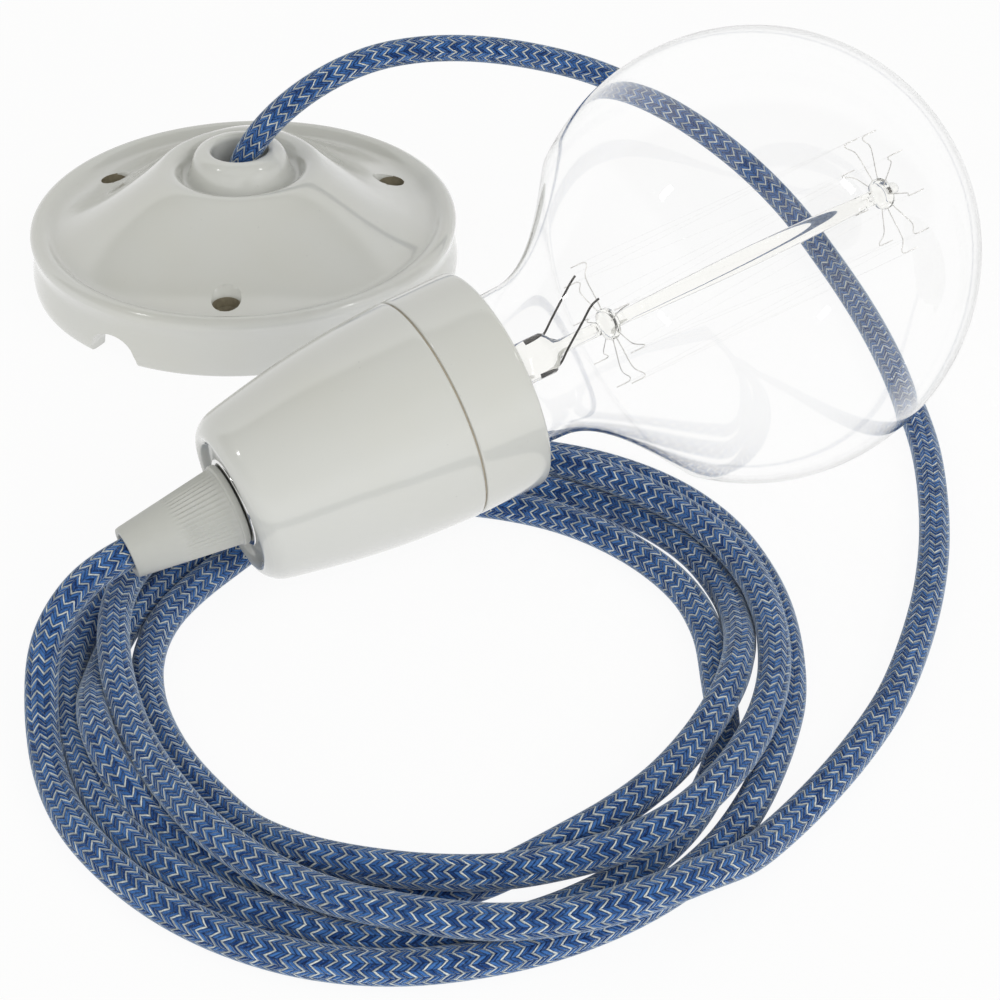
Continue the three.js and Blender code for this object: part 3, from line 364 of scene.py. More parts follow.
def braided_cotton():
    """The cover is laid in slanting floats, up in one column and down in the
    next: one linen yarn and then two blue ones, all the way along."""
    finish, tree, shader = new_finish("braided_cotton", (0.05, 0.12, 0.35), 0.85)
    float_slant, linen_edge, yarns_to_row = 0.6, 0.11, 2.5

    def plus(first, second):
        return calc(tree, "ADD", first, second)

    def minus(first, second):
        return calc(tree, "SUBTRACT", first, second)

    def times(first, second):
        return calc(tree, "MULTIPLY", first, second)

    def off_middle(share):
        """0 in the middle of a yarn or column, 1 at both its edges."""
        return calc(tree, "ABSOLUTE", minus(times(share, 2), 1))

    # Where a spot lies: its column across, and its row along the slant.
    layout = tree.nodes.new("ShaderNodeUVMap")
    split = tree.nodes.new("ShaderNodeSeparateXYZ")
    tree.links.new(layout.outputs[0], split.inputs[0])
    across = times(split.outputs[0], cover_columns)
    slant = calc(tree, "PINGPONG", across, 1)
    drift = times(minus(speckle(tree, 0.45, 2.0), 0.5), 0.35)
    row = minus(plus(split.outputs[1], drift), times(slant, float_slant))
    place = calc(tree, "FRACT", row)

    # Which yarn it is on, and how high that yarn stands there.
    from_linen = calc(tree, "ABSOLUTE", minus(calc(tree, "FRACT", plus(place, 0.4)), 0.5))
    frayed = times(minus(speckle(tree, 1.8, 3.0), 0.5), 0.12)
    is_blue = soft_step(tree, plus(from_linen, frayed), 0.055, linen_edge)
    linen_round = minus(1, calc(tree, "POWER", calc(tree, "DIVIDE", from_linen, linen_edge), 2))
    in_blue = calc(tree, "FRACT", times(minus(place, 0.2), yarns_to_row))
    blue_round = minus(1, calc(tree, "POWER", off_middle(in_blue), 2.2))
    off_column = off_middle(calc(tree, "FRACT", across))
    column_round = minus(1, times(calc(tree, "POWER", off_column, 5), 0.75))
    yarn = calc(tree, "MAXIMUM", times(blue_round, 0.8), linen_round)
    height = times(yarn, column_round)

    # Each float has its own tone, with fine fibres and worn spots, and painted shade: the low gaps between the yarns
    # are darkened to a near-black blue.
    cell = tree.nodes.new("ShaderNodeCombineXYZ")
    tree.links.new(calc(tree, "FLOOR", across), cell.inputs[0])
    tree.links.new(calc(tree, "FLOOR", times(row, yarns_to_row)), cell.inputs[1])
    chance = tree.nodes.new("ShaderNodeTexWhiteNoise")
    chance.noise_dimensions = "2D"
    tree.links.new(cell.outputs[0], chance.inputs["Vector"])
    fibre = speckle(tree, 1.6, 4.0)
    shade = plus(times(chance.outputs["Value"], 0.45), times(fibre, 0.55))
    shade = soft_step(tree, shade, 0.2, 0.8)
    blue = blend_colours(tree, shade, (0.008, 0.042, 0.18), (0.06, 0.18, 0.49))
    # Painted shade: the lower a spot lies between the yarns, the nearer its colour goes to near-black blue.
    painted_gap_shade = soft_step(tree, plus(height, times(fibre, 0.6)), 0.15, 0.9)
    blue = blend_colours(tree, painted_gap_shade, (0.003, 0.012, 0.06), blue)
    worn = times(soft_step(tree, speckle(tree, 2.6, 3.0), 0.58, 0.72), 0.35)
    blue = blend_colours(tree, worn, blue, (0.26, 0.40, 0.62))
    linen = blend_colours(tree, shade, (0.40, 0.43, 0.44), (0.90, 0.93, 0.90))
    yarns = blend_colours(tree, is_blue, linen, blue)

    # Painted sheen: where the cover is seen edge on, its colour is blended to a pale blue, for the light that loose
    # fibres catch along its rim.
    rim = tree.nodes.new("ShaderNodeLayerWeight")
    rim.inputs["Blend"].default_value = 0.35
    sheen_edge_on = plus(rim.outputs["Facing"], times(fibre, 0.4))
    painted_rim_sheen = times(soft_step(tree, sheen_edge_on, 0.6, 1.15), 0.75)
    colour = blend_colours(tree, painted_rim_sheen, yarns, (0.58, 0.68, 0.84))
    tree.links.new(colour, shader.inputs["Base Color"])
    add_bump(tree, shader, plus(height, times(speckle(tree, 5.0, 3.0), 0.45)), 0.42, 1.0)
    shader.inputs["Sheen Weight"].default_value = 0.7
    shader.inputs["Sheen Roughness"].default_value = 0.25
    shader.inputs["Sheen Tint"].default_value = (0.72, 0.86, 1.0, 1)
    shader.inputs["Specular IOR Level"].default_value = 0.2
    return finish


def lay_out_cover(mesh, sides, reach):
    """UVs: one turn round the cord to the unit across, one row to the unit along.
    The rows are drawn out where the cord hangs and closer where it lies."""
    drawn_out = (0, 0.6 * rows_even, rows_even)
    pitch = np.interp(reach, drawn_out, (rows_start, rows_start - 0.2, rows_end))
    rows = np.r_[0, np.cumsum(np.diff(reach) / pitch[1:])]
    cover = mesh.uv_layers.new(name="cover")
    places = np.zeros((len(mesh.loops), 2))
    for face in mesh.polygons:
        if len(face.vertices) != 4:
            continue
        columns = [v % sides for v in face.vertices]
        wraps = max(columns) - min(columns) > sides / 2
        for loop in face.loop_indices:
            ring, k = divmod(mesh.loops[loop].vertex_index, sides)
            turn = 1.0 if wraps and k == 0 else k / sides
            places[loop] = (turn, rows[ring])
    cover.data.foreach_set("uv", places.ravel())


cord_line = smooth_line(cord_stops(), cord_spacing)
cord_reach = np.r_[0, np.cumsum(np.linalg.norm(np.diff(cord_line, axis=0), axis=1))]
cord_corners, cord_faces = tube_round(cord_line, cord_radius, cord_sides)
cord = make_piece("braided_cord", cord_corners, cord_faces, braided_cotton(), sharp=80)
lay_out_cover(cord.data, cord_sides, cord_reach)
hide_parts("cord_run", "cord_coil", "cord_end")

# The ceiling rose: one slip-cast porcelain disc under a clear glaze, on its
# back edge. A rounded bead runs round its rim, a raised ring round its hub, and
# between them the face dips to each screw hole, whose walls are painted dark
# brown for the shade inside.
rose_radius, rose_rim_height, rose_bead = 52.0, 13.0, 2.3
crest_radius, crest_height = 18.5, 29.0
boss_radius, boss_height, groove_height, cord_hole = 12.3, 32.7, 24.7, 6.7
channel_radius, channel_height = 46.2, 12.8
rose_turn = math.radians(-91)
screw_circle, screw_hole, screw_holes, pocket_depth = 40.2, 2.5, 3, 3.4
notch_turn, notch_half_width, notch_height = math.radians(-31), 7.0, 6.8


def glazed_porcelain(name="glazed_porcelain", colour=(0.61, 0.615, 0.595)):
    """Thick clear glaze on a white body: faint waves, specks and a warmer tone
    where the glaze has run thin."""
    finish, tree, shader = new_finish(name, colour, 0.07)
    cloud = soft_step(tree, speckle(tree, 0.035, 2.0), 0.3, 0.7)
    tone = blend_colours(tree, cloud, colour, tuple(c * s for c, s in zip(colour, (0.985, 0.98, 0.96))))
    speck = soft_step(tree, speckle(tree, 0.9, 2.0), 0.74, 0.79)
    pinhole = blend_colours(tree, speck, tone, tuple(c * 0.9 for c in colour))
    tree.links.new(pinhole, shader.inputs["Base Color"])
    rough = tree.nodes.new("ShaderNodeMapRange")
    rough.inputs["To Min"].default_value = 0.08
    rough.inputs["To Max"].default_value = 0.15
    tree.links.new(speckle(tree, 0.12, 3.0), rough.inputs["Value"])
    tree.links.new(rough.outputs["Result"], shader.inputs["Roughness"])
    add_bump(tree, shader, speckle(tree, 0.09, 2.0), 0.25, 0.5)
    shader.inputs["Specular IOR Level"].default_value = 0.6
    shader.inputs["Coat Weight"].default_value = 0.6
    shader.inputs["Coat Roughness"].default_value = 0.07
    return finish


def rounded_outline(corners, steps=5):
    """Points along an outline of (radius, height, rounding) corners."""
    points = []
    for i, (r, z, ease) in enumerate(corners):
        here = np.array((r, z), float)
        if ease <= 0 or i in (0, len(corners) - 1):
            points.append(here)
            continue
        before = np.array(corners[i - 1][:2], float) - here
        after = np.array(corners[i + 1][:2], float) - here
        start = here + before * min(0.5, ease / np.linalg.norm(before))
        end = here + after * min(0.5, ease / np.linalg.norm(after))
        for t in np.linspace(0, 1, steps):
            points.append((1 - t) ** 2 * start + 2 * t * (1 - t) * here + t * t * end)
    return points


def ring_mesh(segments, outline_at):
    """Corners and faces of a closed ring whose outline may change with the angle."""
    corners, faces = [], []
    for i in range(segments):
        angle = 2 * math.pi * i / segments
        outline = outline_at(angle)
        count = len(outline)
        corners += [(r * math.cos(angle), r * math.sin(angle), z) for r, z in outline]
        a, b = i * count, (i + 1) % segments * count
        for j in range(count):
            k = (j + 1) % count
            faces.append((a + j, b + j, b + k, a + k))
    return corners, faces


def face_height(radius, angle):
    """Height of the rose's face: a hollow at a screw hole, full between two."""
    t = (radius - crest_radius) / (channel_radius - crest_radius)
    hollow = crest_height + (channel_height - crest_height) * (1 - (1 - t) ** 1.8)
    full = crest_height + (channel_height - crest_height) * t ** 1.25
    ridge = (0.5 - 0.5 * math.cos(screw_holes * angle)) ** 1.2
    return hollow + (full - hollow) * ridge


def softened(points, count, passes):
    """The same outline with even steps and its corners worn round."""
    points = np.array(points, float)
    run = np.r_[0, np.cumsum(np.linalg.norm(np.diff(points, axis=0), axis=1))]
    places = np.linspace(0, run[-1], count)
    points = np.column_stack([np.interp(places, run, points[:, k]) for k in (0, 1)])
    for _ in range(passes):
        points[1:-1] = 0.5 * points[1:-1] + 0.25 * (points[:-2] + points[2:])
    return [tuple(p) for p in points]


def rose_outline(angle):
    """Over the hub, down the face, round the bead and back underneath."""
    hub = rounded_outline([
        (cord_hole, 17.6, 0), (cord_hole, boss_height - 0.6, 0.9),
        (cord_hole + 1.3, boss_height + 0.3, 1.2), (boss_radius - 1.5, boss_height - 0.8, 2.6),
        (boss_radius - 0.1, groove_height + 2.6, 0),
    ], steps=7)
    face = [
        (boss_radius - 0.1, groove_height + 2.6), (boss_radius + 0.5, groove_height),
        (boss_radius + 1.8, groove_height + 0.3), (crest_radius - 3.0, crest_height - 1.0),
        (crest_radius - 1.2, crest_height - 0.15), (crest_radius, crest_height - 0.1),
    ]
    face += [(r, face_height(r, angle)) for r in np.linspace(crest_radius + 0.9, channel_radius, 40)]
    bead_r, bead_z = rose_radius - rose_bead - 0.3, rose_rim_height - 0.1
    bead = [
        (bead_r + rose_bead * math.cos(turn), bead_z + rose_bead * math.sin(turn))
        for turn in np.radians(np.linspace(160, -25, 20))
    ]
    upper = softened(face + bead[:9], count=105, passes=9)[1:] + bead[9:]
    under = rounded_outline([
        (rose_radius - 0.75, 10.9, 0), (rose_radius - 1.0, 9.4, 1.2), (rose_radius, 3.4, 1.6),
        (rose_radius - 0.3, 0.6, 0.8), (rose_radius - 1.6, 0, 0.9), (rose_radius - 5.2, 0, 0.6),
        (rose_radius - 5.2, 5.2, 2.0), (rose_radius - 8.2, 7.4, 2.0), (30, 8.6, 4.0),
        (21, 17.0, 2.0), (14, 17.6, 2.0), (cord_hole, 17.6, 0),
    ], steps=6)[:-1]
    return hub + upper + under


def cut_away(piece, cutters):
    """Takes the cutters out of a piece and keeps the result as its mesh."""
    for corners, faces in cutters:
        mesh = bpy.data.meshes.new("cutter")
        mesh.from_pydata([tuple(float(x) * mm for x in c) for c in corners], [], faces)
        tool = bpy.data.objects.new("cutter", mesh)
        bpy.context.scene.collection.objects.link(tool)
        hole = piece.modifiers.new("hole", "BOOLEAN")
        hole.operation, hole.solver, hole.object = "DIFFERENCE", "EXACT", tool
        bpy.context.view_layer.update()
        graph = bpy.context.evaluated_depsgraph_get()
        finished = bpy.data.meshes.new_from_object(piece.evaluated_get(graph))
        piece.modifiers.clear()
        piece.data = finished
        bpy.data.objects.remove(tool)
    piece.data.set_sharp_from_angle(angle=math.radians(40))


def turned_solid(outline, segments=96):
    """Corners and faces of a solid turned from an outline that starts and ends on its axis."""
    corners, faces = [(0, 0, outline[0][1])], []
    rings = outline[1:-1]
    for r, z in rings:
        corners += [(r * math.cos(a), r * math.sin(a), z) for a in np.arange(segments) * 2 * math.pi / segments]
    corners.append((0, 0, outline[-1][1]))
    for k in range(segments):
        n = (k + 1) % segments
        faces.append((0, 1 + n, 1 + k))
        for j in range(len(rings) - 1):
            a, b = 1 + j * segments, 1 + (j + 1) * segments
            faces.append((a + k, a + n, b + n, b + k))
        last = 1 + (len(rings) - 1) * segments
        faces.append((last + k, last + n, len(corners) - 1))
    return corners, faces


def screw_cutter(angle):
    """A clear hole for the screw, and over it the pocket that its head sinks in.
    It stands a hair off the hole's own line, so that no edges fall together."""
    floor = face_height(screw_circle, 0) - pocket_depth
    outline = [(0, -2), (screw_hole, -2), (screw_hole, floor - 0.6)]
    outline += [(screw_hole + 0.25, floor), (3.1, floor + 0.3), (3.2, floor + 2.7)]
    outline += [(3.35, floor + 3.3), (3.7, floor + 3.8), (4.2, floor + 4.4), (4.7, floor + 5.2)]
    outline += [(4.7, floor + 11), (0, floor + 11)]
    corners, faces = turned_solid(outline, segments=47)
    place = Matrix.Translation((rose_x, rose_y, 0)) @ Matrix.Rotation(rose_turn + angle, 4, "Z")
    place = place @ Matrix.Translation((screw_circle + 0.017, 0.023, 0)) @ Matrix.Rotation(0.037, 4, "Z")
    return [place @ Vector(c) for c in corners], faces


def notch_cutter():
    """An arch through the rim for a surface cable."""
    half, top = notch_half_width, notch_height
    arch = [(-half - 0.8, -1), (-half, 0.0), (0.4 - half, 2.2)]
    for turn in np.linspace(0.15, math.pi - 0.15, 17):
        arch.append(((0.8 - half) * math.cos(turn), 2.4 + (top - 2.4) * math.sin(turn)))
    arch += [(half - 0.4, 2.2), (half, 0.0), (half + 0.8, -1)]
    near, far = rose_radius - 9, rose_radius + 4
    corners = [(near, y, z) for y, z in arch] + [(far, y, z) for y, z in arch]
    n = len(arch)
    faces = [tuple(range(n)), tuple(range(2 * n - 1, n - 1, -1))]
    faces += [(k, k + n, (k + 1) % n + n, (k + 1) % n) for k in range(n)]
    place = Matrix.Translation((rose_x, rose_y, 0)) @ Matrix.Rotation(rose_turn + notch_turn, 4, "Z")
    return [place @ Vector(c) for c in corners], faces


porcelain = glazed_porcelain()
turn_rose = Matrix.Translation((rose_x, rose_y, 0)) @ Matrix.Rotation(rose_turn, 4, "Z")
rose_corners, rose_faces = ring_mesh(240, rose_outline)
rose_corners = [turn_rose @ Vector(c) for c in rose_corners]
rose = make_piece("rose_disc", rose_corners, rose_faces, porcelain)
screw_turns = [i * 2 * math.pi / screw_holes for i in range(screw_holes)]
cut_away(rose, [screw_cutter(turn) for turn in screw_turns] + [notch_cutter()])

# The moulding's second finish is painted shade: a dark brown on the walls inside the screw holes, standing in for
# the shade down in each hole.
hole_shade_finish, hole_shade_tree, hole_shade_shader = new_finish("painted_hole_shade", (0.22, 0.19, 0.13), 0.7)
hole_shade_tone = blend_colours(hole_shade_tree, speckle(hole_shade_tree, 0.7), (0.26, 0.23, 0.16), (0.13, 0.11, 0.07))
hole_shade_tree.links.new(hole_shade_tone, hole_shade_shader.inputs["Base Color"])
rose.data.materials.append(hole_shade_finish)
# Painted shade: the faces inside each hole, below the face's height there, get the dark finish.
hole_shade_reach, hole_shade_top = 3.25, face_height(screw_circle, 0) - 0.5
for face in rose.data.polygons:
    for turn in screw_turns:
        hole = turn_rose @ Matrix.Rotation(turn, 4, "Z") @ Vector((screw_circle, 0, 0))
        inside = (face.center.xy / mm - hole.xy).length < hole_shade_reach
        if inside and face.center.z / mm < hole_shade_top:
            face.material_index = 1
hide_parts("ceiling_rose")

# Inside the rose: a nylon clamp that holds the cord by one screw, a two-pole
# terminal block with brass screws, and the two insulated cores between them.
# They are moulded or turned as the CAD has them, and only get their finish.
def moulded_nylon():
    """White nylon that light sinks a little into, with a fine moulded grain."""
    colour = (0.52, 0.525, 0.50)
    finish, tree, shader = new_finish("moulded_nylon", colour, 0.45)
    tone = blend_colours(tree, speckle(tree, 0.25), colour, tuple(c * 0.93 for c in colour))
    tree.links.new(tone, shader.inputs["Base Color"])
    add_bump(tree, shader, speckle(tree, 3.5, 2.0), 0.06, 0.5)
    shader.inputs["Subsurface Weight"].default_value = 0.08
    shader.inputs["Subsurface Radius"].default_value = (0.002, 0.002, 0.0016)
    return finish


def core_insulation(name, colour):
    """Soft plastic sleeve over a core's strands, a little uneven in tone."""
    finish, tree, shader = new_finish(name, colour, 0.4)
    tone = blend_colours(tree, speckle(tree, 0.6), colour, tuple(c * 0.75 for c in colour))
    tree.links.new(tone, shader.inputs["Base Color"])
    add_bump(tree, shader, speckle(tree, 1.5), 0.05, 0.4)
    return finish


def worked_metal(name, colour, roughness, dark=0.75, grain=(1, 1, 1)):
    """Bright metal with fine working marks and a little tarnish."""
    finish, tree, shader = new_finish(name, colour, roughness, 1.0)
    tarnish = soft_step(tree, speckle(tree, 0.5, 4.0), 0.35, 0.75)
    tone = blend_colours(tree, tarnish, colour, tuple(c * dark for c in colour))
    tree.links.new(tone, shader.inputs["Base Color"])
    add_bump(tree, shader, speckle(tree, 4.0, 2.0, grain), 0.03, 0.4)
    return finish


nylon = moulded_nylon()
brown_core = core_insulation("brown_core", (0.16, 0.065, 0.03))
blue_core = core_insulation("blue_core", (0.03, 0.12, 0.40))
brass = worked_metal("pressed_brass", (0.78, 0.58, 0.28), 0.28)
plated_steel = worked_metal("plated_steel", (0.72, 0.72, 0.70), 0.2)


def dress(finish, *names):
    """Gives CAD nodes that already have the right shape their finish."""
    for name in names:
        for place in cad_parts[name].material_slots:
            place.material = finish


dress(nylon, "rose_cord_clamp", "terminal_block")
dress(plated_steel, "rose_clamp_screw")
dress(brass, "block_screw_1_1", "block_screw_1_2", "block_screw_2_1", "block_screw_2_2")
dress(brown_core, "rose_core_brown", "holder_core_brown")
dress(blue_core, "rose_core_blue", "holder_core_blue")

# The holder's outside: two glazed porcelain turnings on one thread, the skirt
# round the bulb's neck and the dome behind it, which draws in to a rounded lip.
# Heights run from the skirt's mouth to the rear.
mouth_from_globe = 62
into_holder = into_lamp @ Matrix.Translation((0, 0, mouth_from_globe))


def holder_piece(name, segments, outline_at, finish, slot, *nodes):
    """A ring-shaped piece of the holder that stands for the CAD nodes named."""
    corners, faces = ring_mesh(segments, outline_at)
    piece = make_piece(name, [into_holder @ Vector(c) for c in corners], faces, finish)
    if nodes:
        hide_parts(*nodes)


skirt_line = rounded_outline([
    (20.6, 2.6, 0.8), (19.1, 3.9, 1.0), (19.1, 14, 0), (19.5, 20.9, 0.4), (20.2, 20.9, 0.3),
    (20.2, 14.95, 0), (22.9, 14.9, 0.5), (23.38, 14.7, 0.35), (23.45, 9, 3), (23.5, 3, 2),
    (23.35, 0.5, 0.7), (22.4, -0.02, 0.8), (20.6, 0.02, 0.9), (19.5, 1.0, 0.8), (20.6, 2.6, 0.8),
], steps=6)[:-1]
holder_piece("skirt_ring", 160, lambda angle: skirt_line, porcelain, "porcelain", "holder_skirt")


def full_curve(stops, share):
    """A point on the curve from the first stop to the last, pulled by the two between."""
    left, (a, b, c, d) = 1 - share, stops
    return left ** 3 * a + 3 * left * left * share * b + 3 * left * share * share * c + share ** 3 * d


def dome_line():
    """The dome's outline: its full side, the lip, the recess and the inside."""
    side = [np.array(p) for p in ((23.4, 15.55), (22.6, 32.9), (21.2, 40.4), (18.4, 54.0))]
    outline = rounded_outline([(20.6, 15.15, 0), (22.9, 15.15, 0.5), (23.35, 15.4, 0.35), (23.38, 16.2, 0)], steps=6)
    outline += [full_curve(side, t) for t in np.linspace(0.03, 1, 40)]
    outline += rounded_outline([
        (18.4, 54.0, 0), (17.6, 57.3, 3.2), (15.2, 59.75, 2.0), (13.4, 59.5, 1.0), (12.0, 57.75, 0.8),
        (9.6, 57.7, 0.5), (5.3, 57.7, 0), (5.3, 52.9, 0), (11.2, 52.9, 2.0), (17.8, 40.0, 3.0),
        (18.4, 25.2, 0), (20.6, 25.2, 0), (20.6, 15.15, 0),
    ], steps=7)[1:-1]
    return outline


dome_outline = dome_line()
holder_piece("dome_shell", 160, lambda angle: dome_outline, porcelain, "porcelain", "holder_dome")

# The joint between skirt and dome shows as one thin warm line: the two ends are
# ground free of glaze where they meet.
joint_line = rounded_outline([(21.2, 14.86, 0), (22.95, 14.86, 0.1), (22.95, 15.24, 0.1), (21.2, 15.24, 0)], steps=3)
bare_porcelain, bare_tree, bare_shader = new_finish("bare_porcelain", (0.42, 0.37, 0.29), 0.8)
bare_tone = blend_colours(bare_tree, speckle(bare_tree, 0.8), (0.46, 0.41, 0.33), (0.30, 0.26, 0.20))
bare_tree.links.new(bare_tone, bare_shader.inputs["Base Color"])
add_bump(bare_tree, bare_shader, speckle(bare_tree, 4.0), 0.05, 0.6)
holder_piece("ground_joint", 120, lambda angle: joint_line, bare_porcelain, "bare_porcelain")

# The cord grip and what holds it: a threaded steel tube through the dome with a
# nut inside, a bright washer outside, and on the tube a white nylon cone with
# fine ribs on its base half for the fingers, which closes on the cord.
grip_start, grip_length = 59.3, 22.6
grip_base, grip_tip_radius = 8.5, 5.2
grip_ribs, rib_depth, ribs_from, ribs_to = 46, 0.3, 1.9, 12.6


def grip_outline(angle):
    """The flange, the cone with its ribs that fade out at both ends, and the bore."""
    outline = rounded_outline([
        (5.3, 0, 0), (grip_base - 0.2, 0, 0.2), (grip_base, 0.35, 0.2), (grip_base, 1.3, 0.2),
        (grip_base - 0.42, 1.55, 0),
    ], steps=4)
    cone_base, cone_start = grip_base - 0.42, 1.5
    rib = 0.5 - 0.5 * math.cos(grip_ribs * angle)
    for height in np.linspace(ribs_from, grip_length - 0.7, 30):
        draw_in = (grip_tip_radius - cone_base) * (height - cone_start) / (grip_length - cone_start)
        fade = min(1, max(0, (height - ribs_from) / 0.7)) * min(1, max(0, (ribs_to - height) / 1.2))
        outline.append((cone_base + draw_in - rib_depth * rib ** 0.8 * fade, height))
    outline += rounded_outline([
        (grip_tip_radius + 0.02, grip_length - 0.5, 0), (grip_tip_radius - 0.05, grip_length, 0.35),
        (4.0, grip_length, 0.4), (3.55, grip_length - 0.7, 0.4), (3.55, 16.0, 0.5),
        (5.3, 14.6, 0.5), (5.3, 0, 0),
    ], steps=5)[:-1]
    return [(r, z + grip_start) for r, z in outline]


holder_piece("ribbed_grip", grip_ribs * 6, grip_outline, nylon, "white_nylon", "cord_grip")
washer_line = rounded_outline([
    (5.3, 58.0, 0), (9.1, 58.0, 0.3), (9.35, 58.3, 0.25), (9.35, 58.8, 0.25), (9.1, 59.05, 0.3),
    (5.3, 59.05, 0), (5.3, 58.0, 0),
], steps=5)[:-1]
bright_steel = worked_metal("bright_steel", (0.80, 0.80, 0.79), 0.12, dark=0.85)
holder_piece("bright_washer", 120, lambda angle: washer_line, bright_steel, "plated_steel", "grip_washer")
dress(plated_steel, "threaded_tube", "tube_nut")

# Inside the holder: a thinly glazed porcelain insert, the rolled brass shell
# with its two screws, the springy centre contact with its rivet, and a brass
# terminal for each core.
insert_porcelain = glazed_porcelain("insert_porcelain", (0.74, 0.73, 0.69))
dress(insert_porcelain, "holder_insert")
dress(brass, "screw_shell", "centre_contact", "contact_rivet", "live_terminal", "neutral_terminal")
dress(plated_steel, "shell_screw_1", "shell_screw_2", "terminal_screw_1", "terminal_screw_2")

# The bulb's envelope: a 95 mm globe of clear blown glass that draws in to a
# neck, with the stem's flare fused into its end inside the cap.
globe_radius, glass_wall = 47.5, 0.55


def envelope_line():
    """The outside, from the globe's crown over its knee to the end of the neck."""
    knee_turn = math.radians(53)
    turns = np.linspace(math.pi, knee_turn, 70)
    outer = [np.array((globe_radius * math.sin(a), globe_radius * math.cos(a))) for a in turns]
    knee = outer[-1]
    neck = (knee, knee + (-12, 9), np.array((17.0, 45.5)), np.array((16.6, 53.5)))
    outer += [full_curve(neck, t) for t in np.linspace(0.05, 1, 24)]
    outer += rounded_outline([
        (16.6, 53.5, 0), (16.3, 59.5, 2), (14.0, 62.6, 2), (12.0, 64.6, 1), (11.6, 65.6, 1), (11.6, 73.0, 0),
    ], steps=6)[1:]
    return outer


def clear_glass(name, tint, gleam, refraction, edge, edge_from):
    """Clear soda glass, with painted shade: its colour turns grey where it is seen edge on, for a dark outline. Lamp
    light passes through it, so that it shades nothing."""
    finish, tree, shader = new_finish(name, tint, 0.0)
    rim = tree.nodes.new("ShaderNodeLayerWeight")
    rim.inputs["Blend"].default_value = 0.5
    painted_edge_shade = soft_step(tree, rim.outputs["Facing"], edge_from, 1.0)
    tree.links.new(blend_colours(tree, painted_edge_shade, tint, edge), shader.inputs["Base Color"])
    shader.inputs["Transmission Weight"].default_value = 1.0
    shader.inputs["IOR"].default_value = refraction
    shader.inputs["Specular IOR Level"].default_value = gleam
    add_bump(tree, shader, speckle(tree, 0.05, 1.0), 0.12, 0.25)
    rays = tree.nodes.new("ShaderNodeLightPath")
    clear = tree.nodes.new("ShaderNodeBsdfTransparent")
    clear.inputs["Color"].default_value = (0.96, 0.96, 0.96, 1)
    mix = tree.nodes.new("ShaderNodeMixShader")
    tree.links.new(rays.outputs["Is Shadow Ray"], mix.inputs[0])
    tree.links.new(shader.outputs[0], mix.inputs[1])
    tree.links.new(clear.outputs[0], mix.inputs[2])
    tree.links.new(mix.outputs[0], tree.nodes["Material Output"].inputs[0])
    return finish


def blown_shell(outer):
    """The outline outside, and back along the inside a wall's thickness away."""
    line = np.array(outer)
    along = np.gradient(line, axis=0)
    along /= np.linalg.norm(along, axis=1)[:, None]
    inner = line + glass_wall * np.column_stack((-along[:, 1], along[:, 0]))
    line[0] = (0, line[0][1])
    inner[0] = (0, line[0][1] + glass_wall)
    inner[:, 0] = np.maximum(inner[:, 0], 0)
    return [tuple(p) for p in line] + [tuple(p) for p in inner[::-1]]


# The globe's glass is painted light grey where seen edge on: a painted shade along its outline.
glass = clear_glass(
    "clear_glass", (1.0, 1.0, 1.0), gleam=0.2, refraction=1.36, edge=(0.86, 0.87, 0.87), edge_from=0.75,
)
globe_corners, globe_faces = turned_solid(blown_shell(envelope_line()), segments=160)
globe_corners = [into_lamp @ Vector(c) for c in globe_corners]
globe = make_piece("blown_globe", globe_corners, globe_faces, glass)
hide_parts("bulb_glass")

# The bulb's cap: rolled tinned sheet with a round thread, black fused glass and
# the tip contact. The screw shell hides all of it.
dress(worked_metal("tinned_cap", (0.66, 0.66, 0.65), 0.3), "bulb_cap", "tip_contact")
black_glass, black_tree, black_shader = new_finish("black_glass", (0.012, 0.012, 0.015), 0.15)
add_bump(black_tree, black_shader, speckle(black_tree, 0.5), 0.1, 0.4)
dress(black_glass, "cap_insulator")

# The stem: a flared glass tube, pinched flat where the leads pass through it,
# that goes on as a rod with two buttons of melted glass for the hooks.
press_start, press_end, press_wide, press_thin = 49.0, 56.0, 4.4, 2.6
near_button, far_button = 34.8, -33.5
cage_turn = math.radians(177)
press_turn = cage_turn + math.radians(49)


def stem_section(radius, flat, angle):
    """A round section, or by the share flat one of the pinched press."""
    turn = angle - press_turn
    across = abs(math.cos(turn) / press_wide) ** 4 + abs(math.sin(turn) / press_thin) ** 4
    return (1 - flat) * radius + flat * across ** -0.25


def stem_outline():
    """Radius, height and share of the press, from inside the flare to the rod's end."""
    inside = [(0.05, press_end + 2), (2.2, press_end + 2.4), (3.2, press_end + 3.6)]
    flare = [(3.6, 65), (5.2, 69), (7.4, 71.6), (10.0, 73), (10.8, 73), (8.4, 70.2), (6.2, 67.6), (4.7, 64.6)]
    press = [
        (4.3, press_end + 3, 0), (4.2, press_end + 1.2, 0.2), (4.0, press_end, 0.9),
        (3.6, press_end - 3, 1), (3.2, press_start + 0.7, 1), (2.8, press_start, 0.75),
        (2.2, press_start - 1, 0.25), (1.6, press_start - 2.6, 0), (1.5, 43, 0),
    ]
    rod = [(1.5, 29), (1.75, 20), (2.0, 10), (2.15, 0), (2.1, -10), (1.9, -20), (1.6, -27)]
    end = [(1.3, far_button - 3.4), (0.8, far_button - 3.9), (0.05, far_button - 4.1)]

    def round_stops(stops):
        """Stops where the section is a plain circle."""
        return [(radius, height, 0) for radius, height in stops]

    def button(middle):
        """A flattened bead of glass, thickest in its middle."""
        half = [(1.5, 2.1), (2.0, 1.7), (3.0, 1.3), (3.4, 0.6)]
        return [(r, middle + z) for r, z in half] + [(r, middle - z) for r, z in half[::-1]]

    return (
        round_stops(inside + flare) + press
        + round_stops([(1.5, near_button + 4)] + button(near_button) + rod + button(far_button) + end)
    )


